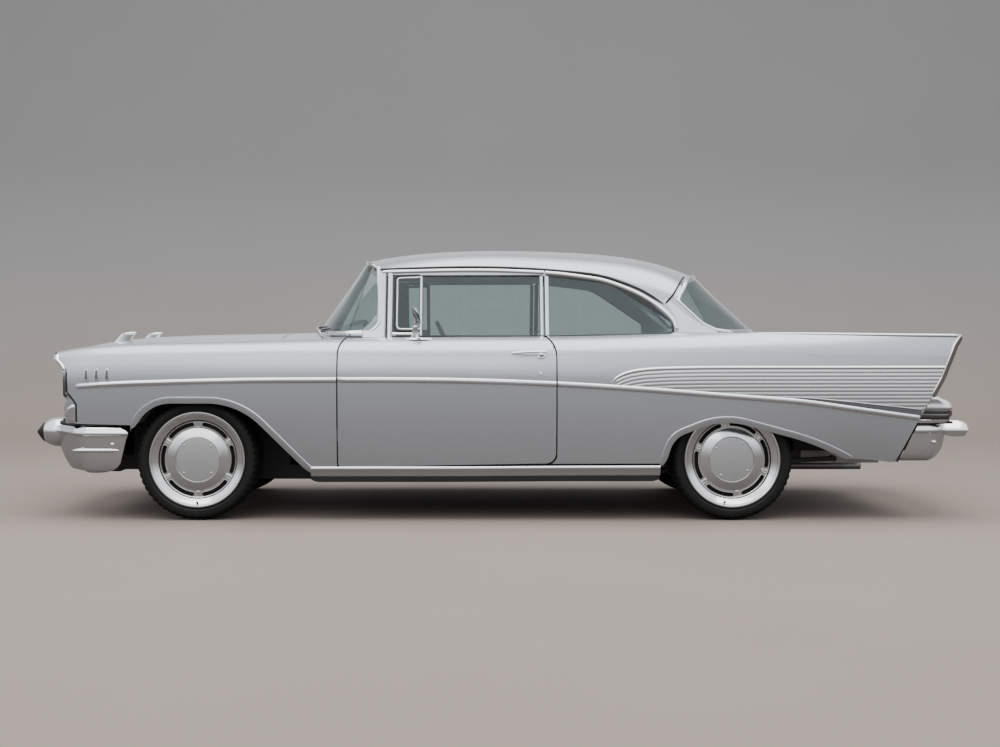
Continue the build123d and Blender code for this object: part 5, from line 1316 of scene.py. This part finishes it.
MIRROR_FOOT = np.array([-428.0, -838.0, 975.0])
mirror_base = plate_loops([(-8, 146, 42, 4), (0, 150, 44, 4), (5, 140, 36, 4), (7, 60, 30, -14),
                           (10, 46, 30, -18), (30, 36, 26, -18), (58, 30, 24, -16), (66, 34, 28, -16),
                           (72, 30, 24, -15), (76, 10, 8, -15)], MIRROR_FOOT)
head_at = MIRROR_FOOT + (-14, -8, 128)
MIRROR_HEAD = [(-9, 0), (-8.5, 22), (-6, 38), (-3, 47), (2, 51), (6, 52), (8, 51), (8, 49), (7, 48.5),
               (6.6, 0)]
mirror_head = revolve(MIRROR_HEAD, head_at, (0.90, 0.22, 0.36), 72)
mirror_stem = sweep(through([MIRROR_FOOT + (-15, 0, 66), MIRROR_FOOT + (-12, -2, 84),
                             head_at + (-6, -2, -8)], 16), oval(15, 15, 16), (0, -1, 0))
mirror_glass = revolve([(5, 0), (7.4, 0), (7.2, 47), (5, 47.4)], head_at, (0.90, 0.22, 0.36), 64)
piece("mirror_body", join(mirror_base, mirror_stem), CHROME, "door_left", replaces=["mirror"])
# painted shade: the mirror head's chrome is darkened, as its back lies in shade
piece("mirror_head", mirror_head, mirror_metal("mirror_head_painted_shade", (0.20, 0.22, 0.23), (0.30, 0.32, 0.33), 0.06),
      "door_left", "bright_chrome")
piece("mirror_glass", mirror_glass, mirror_metal("silvered_glass", (0.72, 0.74, 0.75), (0.80, 0.82, 0.83),
                                                 0.01), "door_left", "bright_chrome")


def wiper(side):
    """A wiper: a hooded spindle, a tapering arm, and a blade with its rubber along the foot of the glass."""
    shares = np.linspace(0.30, 0.02, 30) if side < 0 else np.linspace(0.34, 0.05, 30)
    blade = glass_point(WINDSCREEN, np.linspace(1040, 1034, 30), shares) + (-12, 0, 4)
    blade = blade * (1, -side, 1)
    pivot = glass_point(WINDSCREEN, [1012.0], [0.33])[0] * (1, -side, 1) + (-46, 0, 6)
    arm = through([pivot, pivot * 0.5 + blade[12] * 0.5 + (-16, 0, 10), blade[12] + (-4, 0, 5)], 20)
    post = plate_loops([(-16, 16, 16, 0), (0, 16, 16, 0), (6, 13, 13, 0), (9, 5, 5, 0)], pivot, 24)
    return join(post, sweep(arm, oval(9, 6, 12, 3), (-1, 0, 0.5), tapered(20, 0, 0.5, 0.5))), \
        sweep(blade, oval(7, 11, 12, 3), (-1, 0, 0.4))


for side, hand in SIDES:
    arm, blade = wiper(side)
    piece(f"wiper_arm_{hand}", arm, BRIGHT_TRIM)
    piece(f"wiper_blade_{hand}", blade, GASKET)


def rocket():
    """A hood ornament: a fin that leans back from the hood to a slim bullet along its top."""
    k = np.linspace(0, 2 * math.pi, 28, endpoint=False)
    t = np.linspace(0, 1, 30)[:, None]
    r = 8.5 * np.sqrt(np.clip(1 - (2 * t - 0.9) ** 2 / 1.3, 0.02, 1))
    bullet = cols(-2132 + 74 * t, -350 + r * np.cos(k), 1004 + 7 * t + r * np.sin(k))
    levels = []
    for u in np.linspace(0, 1, 10):
        ring = oval(100 - 26 * u, 18 - 9 * u ** 0.5, 36, 2.0)
        levels.append(cols(-2146 + 42 * u + ring[:, 0], -350 + ring[:, 1], 945 + 62 * u))
    return join(loft(bullet), loft(np.stack(levels)))


both_sides("hood_rocket", rocket(), CHROME, "hood")

# ---- instrument hood and steering wheel ----
def instrument_hood():
    """The padded hood over the dials: half an oval across, its height rising and then dropping."""
    x = np.linspace(-905, -735, 24)
    top = np.interp(x, [-905, -880, -840, -790, -742, -735], [1022, 1044, 1066, 1082, 1086, 1078])
    k = np.linspace(0, math.pi, 24)
    loops = [cols(a, -380 + 215 * np.cos(k), 978 + (b - 978) * np.sin(k) ** 0.6) for a, b in zip(x, top)]
    return loft(np.stack(loops))


piece("instrument_hood", instrument_hood(), DASH_PAINT)
HUB = np.array([XF + 1365.0, -380.0, 887.0])
SLOPE = math.radians(25)
DOWN = np.array([-math.cos(SLOPE), 0, -math.sin(SLOPE)])
RIGHT = np.array([0.0, 1.0, 0.0])
UP = np.cross(RIGHT, DOWN)


def wheel_ring(radius, thick, depth, waves=0, rows=160):
    """A steering-wheel ring whose thickness ripples with finger grips, waves of them round its back."""
    k = np.linspace(0, 2 * math.pi, rows, endpoint=False)[:, None]
    a = np.linspace(0, 2 * math.pi, 16, endpoint=False)[None]
    t = thick * (1 + 0.10 * np.cos(waves * k) * np.clip(np.cos(a), 0, 1)) if waves else thick + 0 * k
    ray = np.cos(k)[..., None] * RIGHT + np.sin(k)[..., None] * UP
    reach, back = radius + t * np.sin(a), t * np.cos(a)
    return loft(HUB + depth * DOWN + ray * reach[..., None] + DOWN * back[..., None], True)


def spoke(angle):
    """A steering-wheel spoke: a flat oval that rises from the hub to the rim."""
    out = math.cos(angle) * RIGHT + math.sin(angle) * UP
    path = through([HUB + DOWN * 26 + out * 20, HUB + DOWN * 24 + out * 90, HUB + DOWN * 8 + out * 160,
                    HUB + out * 196], 30)
    return sweep(path, oval(26, 9, 20, 2.4), -DOWN, np.interp(np.linspace(0, 1, 30), [0, 0.3, 1],
                                                              [1.2, 0.8, 0.7]))


piece("steering_rim", join(wheel_ring(200, 10.5, 0, 40), spoke(math.radians(-12)), spoke(math.radians(192))),
      WHEEL_PLASTIC, "steering_wheel", replaces=["steering_wheel"])
piece("steering_hub", revolve([(0, 0), (0, 18), (8, 27), (24, 34), (52, 34), (54, 26), (54, 0)], HUB, DOWN,
                              64), WHEEL_PLASTIC, "steering_wheel")
piece("horn_ring", join(wheel_ring(112, 4, 14, 0, 96),
                        revolve([(-8, 0), (-7, 16), (-3, 24), (2, 26), (4, 26), (4, 0)], HUB, DOWN, 48)),
      CHROME, "steering_wheel")


# ---- inside mirror ----
def inside_mirror():
    """A long rounded mirror case that hangs by a bent stem from the windscreen's head."""
    middle = glass_point(WINDSCREEN, [1350.0], [0.0])[0] + (110, 0, -30)
    outline = oval(210, 52, 48, 3.2)
    case = [middle + cols(10 * back, outline[:, 0] * s, outline[:, 1] * s)
            for back, s in ((0, 1.0), (1, 0.97), (1.6, 0.8))]
    stem = through([middle + (8, 0, 0), middle + (24, 0, 34), middle + (20, 0, 66)], 12)
    return join(loft(np.stack(case)), sweep(stem, oval(9, 9, 12), (0, 1, 0)))


piece("inside_mirror", inside_mirror(), GASKET, slot="dash_paint")


# ---- seats ----
def stuffed_start(width, depth, thick, corner, edge):
    """A rounded block about the origin, across, along and through: levels of rounded rectangles whose inset
    is a quarter circle of the edge radius."""
    k = np.linspace(0, math.pi / 2, 5)
    levels = [(-thick / 2 + edge * (1 - math.sin(a)), edge * (1 - math.cos(a))) for a in k[::-1]]
    loops = []
    for w, inset in levels + [(-w, inset) for w, inset in levels[::-1]]:
        a, b = width / 2 - inset, depth / 2 - inset
        loops.append(lifted(rounded_box(a, b, corner, 6), w))
    return loft(np.stack(loops))


def placed(points, origin, along_x, up):
    """Local (across, along, through) numbers set in the car: across is Y, and the others are given."""
    a, u = unit(np.array(along_x, float)), unit(np.array(up, float))
    p = np.asarray(points, float)
    return np.asarray(origin, float) + p[:, :1] * np.array([0.0, 1.0, 0.0]) + p[:, 1:2] * a + p[:, 2:] * u


def baked(obj):
    """The points, in millimetres, and faces of an object with its modifiers applied."""
    done = obj.evaluated_get(bpy.context.evaluated_depsgraph_get())
    mesh = done.to_mesh()
    flat = np.empty(len(mesh.vertices) * 3)
    mesh.vertices.foreach_get("co", flat)
    faces = [list(p.vertices) for p in mesh.polygons]
    done.to_mesh_clear()
    return flat.reshape(-1, 3) / MM, faces


def discard(obj):
    """Removes an object that was only a step on the way, with its mesh."""
    old = obj.data
    bpy.data.objects.remove(obj)
    bpy.data.meshes.remove(old)


def swollen(starts, pressure, cap, voxel=11.0, frames=20):
    """Each start shape remeshed and blown up as cloth by inside pressure, no point moving beyond the cap."""
    objects = []
    for i, (points, faces) in enumerate(starts):
        obj = raw_object(f"pad_{i}", points, faces)
        remesh = obj.modifiers.new("Remesh", "REMESH")
        remesh.mode, remesh.voxel_size = "VOXEL", voxel * MM
        base, own = baked(obj)
        discard(obj)
        objects.append((raw_object(f"pad_{i}", base, own), base, own))
    for obj, *_ in objects:
        cloth = obj.modifiers.new("Cloth", "CLOTH")
        s = cloth.settings
        s.quality, s.mass = 4, 0.25
        s.use_pressure, s.uniform_pressure_force = True, pressure
        s.tension_stiffness = s.compression_stiffness = 12
        s.bending_stiffness = 1.5
        s.effector_weights.gravity = 0.0
        cloth.collision_settings.use_collision = False
        cloth.point_cache.frame_start, cloth.point_cache.frame_end = 1, frames
    for frame_number in range(1, frames + 1):
        bpy.context.scene.frame_set(frame_number)
    shapes = []
    for obj, base, own in objects:
        moved = baked(obj)[0] - base
        length = np.linalg.norm(moved, axis=1, keepdims=True)
        points = base + moved * np.minimum(1, cap / np.maximum(length, 1e-6))
        discard(obj)
        fine = raw_object("pad_fine", points, own)
        fine.modifiers.new("Smooth", "SMOOTH").iterations = 3
        divide = fine.modifiers.new("Divide", "SUBSURF")
        divide.levels = divide.render_levels = 1
        shapes.append(baked(fine))
        discard(fine)
    bpy.context.scene.frame_set(1)
    return shapes


def groove(distance, width, depth):
    """Depth of a sewn channel at a distance d from its seam: depth times e to minus (d / width) squared."""
    return depth * np.exp(-(distance / width) ** 2)


def sewn(points, depth, panels):
    """Presses the seams into a swollen pad's front face: a border seam round each panel's insert, and
    channels at a pitch across it. Panels are (middle across, half width)."""
    p = points.copy()
    face = np.clip((p[:, 2] - 0.1 * p[:, 2].max()) / (0.5 * p[:, 2].max()), 0, 1)
    for middle, half in panels:
        a, b = np.abs(p[:, 0] - middle), np.abs(p[:, 1])
        out = np.maximum(a - (half - BORDER), b - (depth / 2 - BORDER))
        inside = 1 / (1 + np.exp(out / 5.0))
        phase = np.mod(p[:, 0] - middle + CHANNEL_PITCH / 2, CHANNEL_PITCH) - CHANNEL_PITCH / 2
        near = a < half + 4
        p[:, 2] -= face * near * (groove(out, 7.0, 9.0) + groove(phase, 9.0, 7.5) * inside)
    for split in [m + h for m, h in panels[:-1]]:
        p[:, 2] -= face * groove(p[:, 0] - split, 8.0, 12.0)
    return p


def piping(width, depth, height, corner, bulge):
    """The cord sewn round a pad's edge, at the given height through it."""
    a, b = width / 2 + bulge, depth / 2 + bulge
    ring = along(rounded_box(a, b, corner, 10), 9)
    return sweep(lifted(ring, height), oval(8, 8, 10), (0, 0, 1), ring=True)


BORDER, CHANNEL_PITCH = 62.0, 74.0
# name, width, length, thickness, middle, direction of its length, outward direction, panels
PADS = [
    ("front_cushion", 1356, 436, 140, (-20, 0, 484), (1, 0, -0.10), (0.10, 0, 1),
     [(-452, 226), (0, 226), (452, 226)]),
    ("front_back_left", 668, 540, 66, (206, -346, 742), (0.18, 0, 1), (-1, 0, 0.18), [(0, 334)]),
    ("front_back_right", 668, 540, 66, (206, 346, 742), (0.18, 0, 1), (-1, 0, 0.18), [(0, 334)]),
    ("rear_cushion", 1150, 428, 190, (786, 0, 430), (1, 0, -0.12), (0.12, 0, 1), [(-287, 287), (287, 287)]),
    ("rear_back", 1150, 440, 100, (1074, 0, 742), (0.30, 0, 1), (-1, 0, 0.30), [(-287, 287), (287, 287)])]
swollen_pads = swollen([stuffed_start(w, d, t, 60, t * 0.36) for _, w, d, t, *_ in PADS], 4.0, 22.0)
for (name, w, d, t, middle, ahead, up, panels), (points, faces) in zip(PADS, swollen_pads):
    shape = sewn(points, d, panels)
    pad = piece(f"{name}_pad", (placed(shape, middle, ahead, up), faces), CLOTH_PALE, crease=80,
                replaces=[name.split("_")[0] + "_seat"] if name.endswith("cushion") else [])
    pad.data.materials.append(CLOTH)
    sideways, lengthwise, outward = np.array([points[f].mean(0) for f in faces]).T
    on_face = (np.abs(lengthwise) < d / 2 - BORDER) & (outward > 0)
    insert = np.zeros(len(faces), bool)
    for m, h in panels:
        insert |= on_face & (np.abs(sideways - m) < h - BORDER)
    pad.data.polygons.foreach_set("material_index", insert.astype(np.int32)[: len(pad.data.polygons)])
    cord, cord_faces = piping(w, d, t * 0.26, 62, 8)
    piece(f"{name}_piping", (placed(cord, middle, ahead, up), cord_faces), CLOTH_PALE)


# ---- camera, stage and light ----
def make_camera():
    """The camera at the height, distance and lens of a level view from the left."""
    data = bpy.data.cameras.new("side_camera")
    camera = linked("side_camera", data)
    camera.location = (-0.139, -8.735, 0.987)
    camera.rotation_euler = (math.pi / 2, 0, 0)
    data.sensor_width = 36.0
    data.lens = 52.77
    data.shift_x, data.shift_y = 0.028, -0.0365
    bpy.context.scene.camera = camera


def make_stage():
    """A pale floor that runs up into a backdrop on a quarter circle, which is clear when seen from behind. In
    reflections it shows painted colours: the floor dark brown and the backdrop near white.
    """
    reach, height, bend, start = 28000.0, 12000.0, 3000.0, 5000.0
    t = np.linspace(0, math.pi / 2, 24)
    y = np.concatenate([[-14000.0], start + bend * np.sin(t), [start + bend]])
    z = np.concatenate([[0.0], bend * (1 - np.cos(t)), [height]])
    x = np.array([-reach, reach])[:, None]
    stage = raw_object("stage_floor", cols(x, y, z).reshape(-1, 3), grid_faces(2, len(y), wrap_v=False))
    mesh = stage.data
    if mesh.polygons[0].normal.z < 0:
        mesh.flip_normals()
    mesh.polygons.foreach_set("use_smooth", np.ones(len(mesh.polygons), bool))
    f = Finish("stage_pale", (0.44, 0.42, 0.405), 0.85)
    cloud, wall = f.noise(1.2, detail=5.0), (f.axis("Z") * 0.5 - 0.05).most(0.0).least(1.0)
    tone = f.blend(wall, f.blend(cloud, (0.258, 0.210, 0.177), (0.296, 0.242, 0.205)),
                   f.blend(cloud, (0.252, 0.250, 0.245), (0.272, 0.270, 0.264)))
    # painted reflection: glossy rays see the floor dark brown and the backdrop near white, unlike the camera
    painted_reflection_tone = f.blend(wall, (0.09, 0.077, 0.068), (0.72, 0.73, 0.75))
    through_glass = f.node("LightPath", output="Is Transmission Ray")
    reflected = f.node("LightPath", output="Is Glossy Ray") * (1 - through_glass)
    f.set(Base_Color=f.blend(reflected, tone, painted_reflection_tone))
    behind = f.node("NewGeometry", output="Backfacing") * f.node("LightPath", output="Is Camera Ray")
    seen = f.node("MixShader", _0=behind, _1=Sock(f.tree, f.shader.outputs[0]), _2=f.node("BsdfTransparent"))
    f.tree.links.new(seen.out, f.tree.nodes["Material Output"].inputs["Surface"])
    mesh.materials.append(f.mat)


def soft_light(name, place, aim, size, power):
    """A large soft lamp that faces the place it is aimed at."""
    data = bpy.data.lights.new(name, "AREA")
    data.shape, data.energy = "RECTANGLE", power
    data.size, data.size_y = size
    lamp = linked(name, data)
    lamp.location = place
    lamp.rotation_euler = (Vector(aim) - Vector(place)).to_track_quat("-Z", "Y").to_euler()


def make_sky():
    """An overcast sky: brightest overhead, and dimmer and warmer towards the horizon."""
    world = bpy.data.worlds.new("overcast")
    world.use_nodes = True
    tree = world.node_tree
    where, parts, stops = (tree.nodes.new("ShaderNode" + kind) for kind in ("TexCoord", "SeparateXYZ",
                                                                            "ValToRGB"))
    tree.links.new(where.outputs["Generated"], parts.inputs[0])
    tree.links.new(parts.outputs["Z"], stops.inputs[0])
    elements = stops.color_ramp.elements
    for i, (at, colour) in enumerate([(0.0, (0.19, 0.186, 0.182)), (0.09, (0.27, 0.274, 0.278)),
                                      (0.26, (0.73, 0.765, 0.83)), (1.0, (1.02, 1.04, 1.08))]):
        e = elements[i] if i < 2 else elements.new(at)
        e.position, e.color = at, (*colour, 1.0)
    tree.links.new(stops.outputs[0], tree.nodes["Background"].inputs["Color"])
    tree.nodes["Background"].inputs["Strength"].default_value = 1.72
    bpy.context.scene.world = world


make_camera()
make_stage()
make_sky()
soft_light("overhead", (0, -1.5, 6.5), (0, 0, 0), (10, 6), 480)
soft_light("front_side", (-3.0, -8.0, 5.0), (0, 0, 0.6), (8, 3), 80)
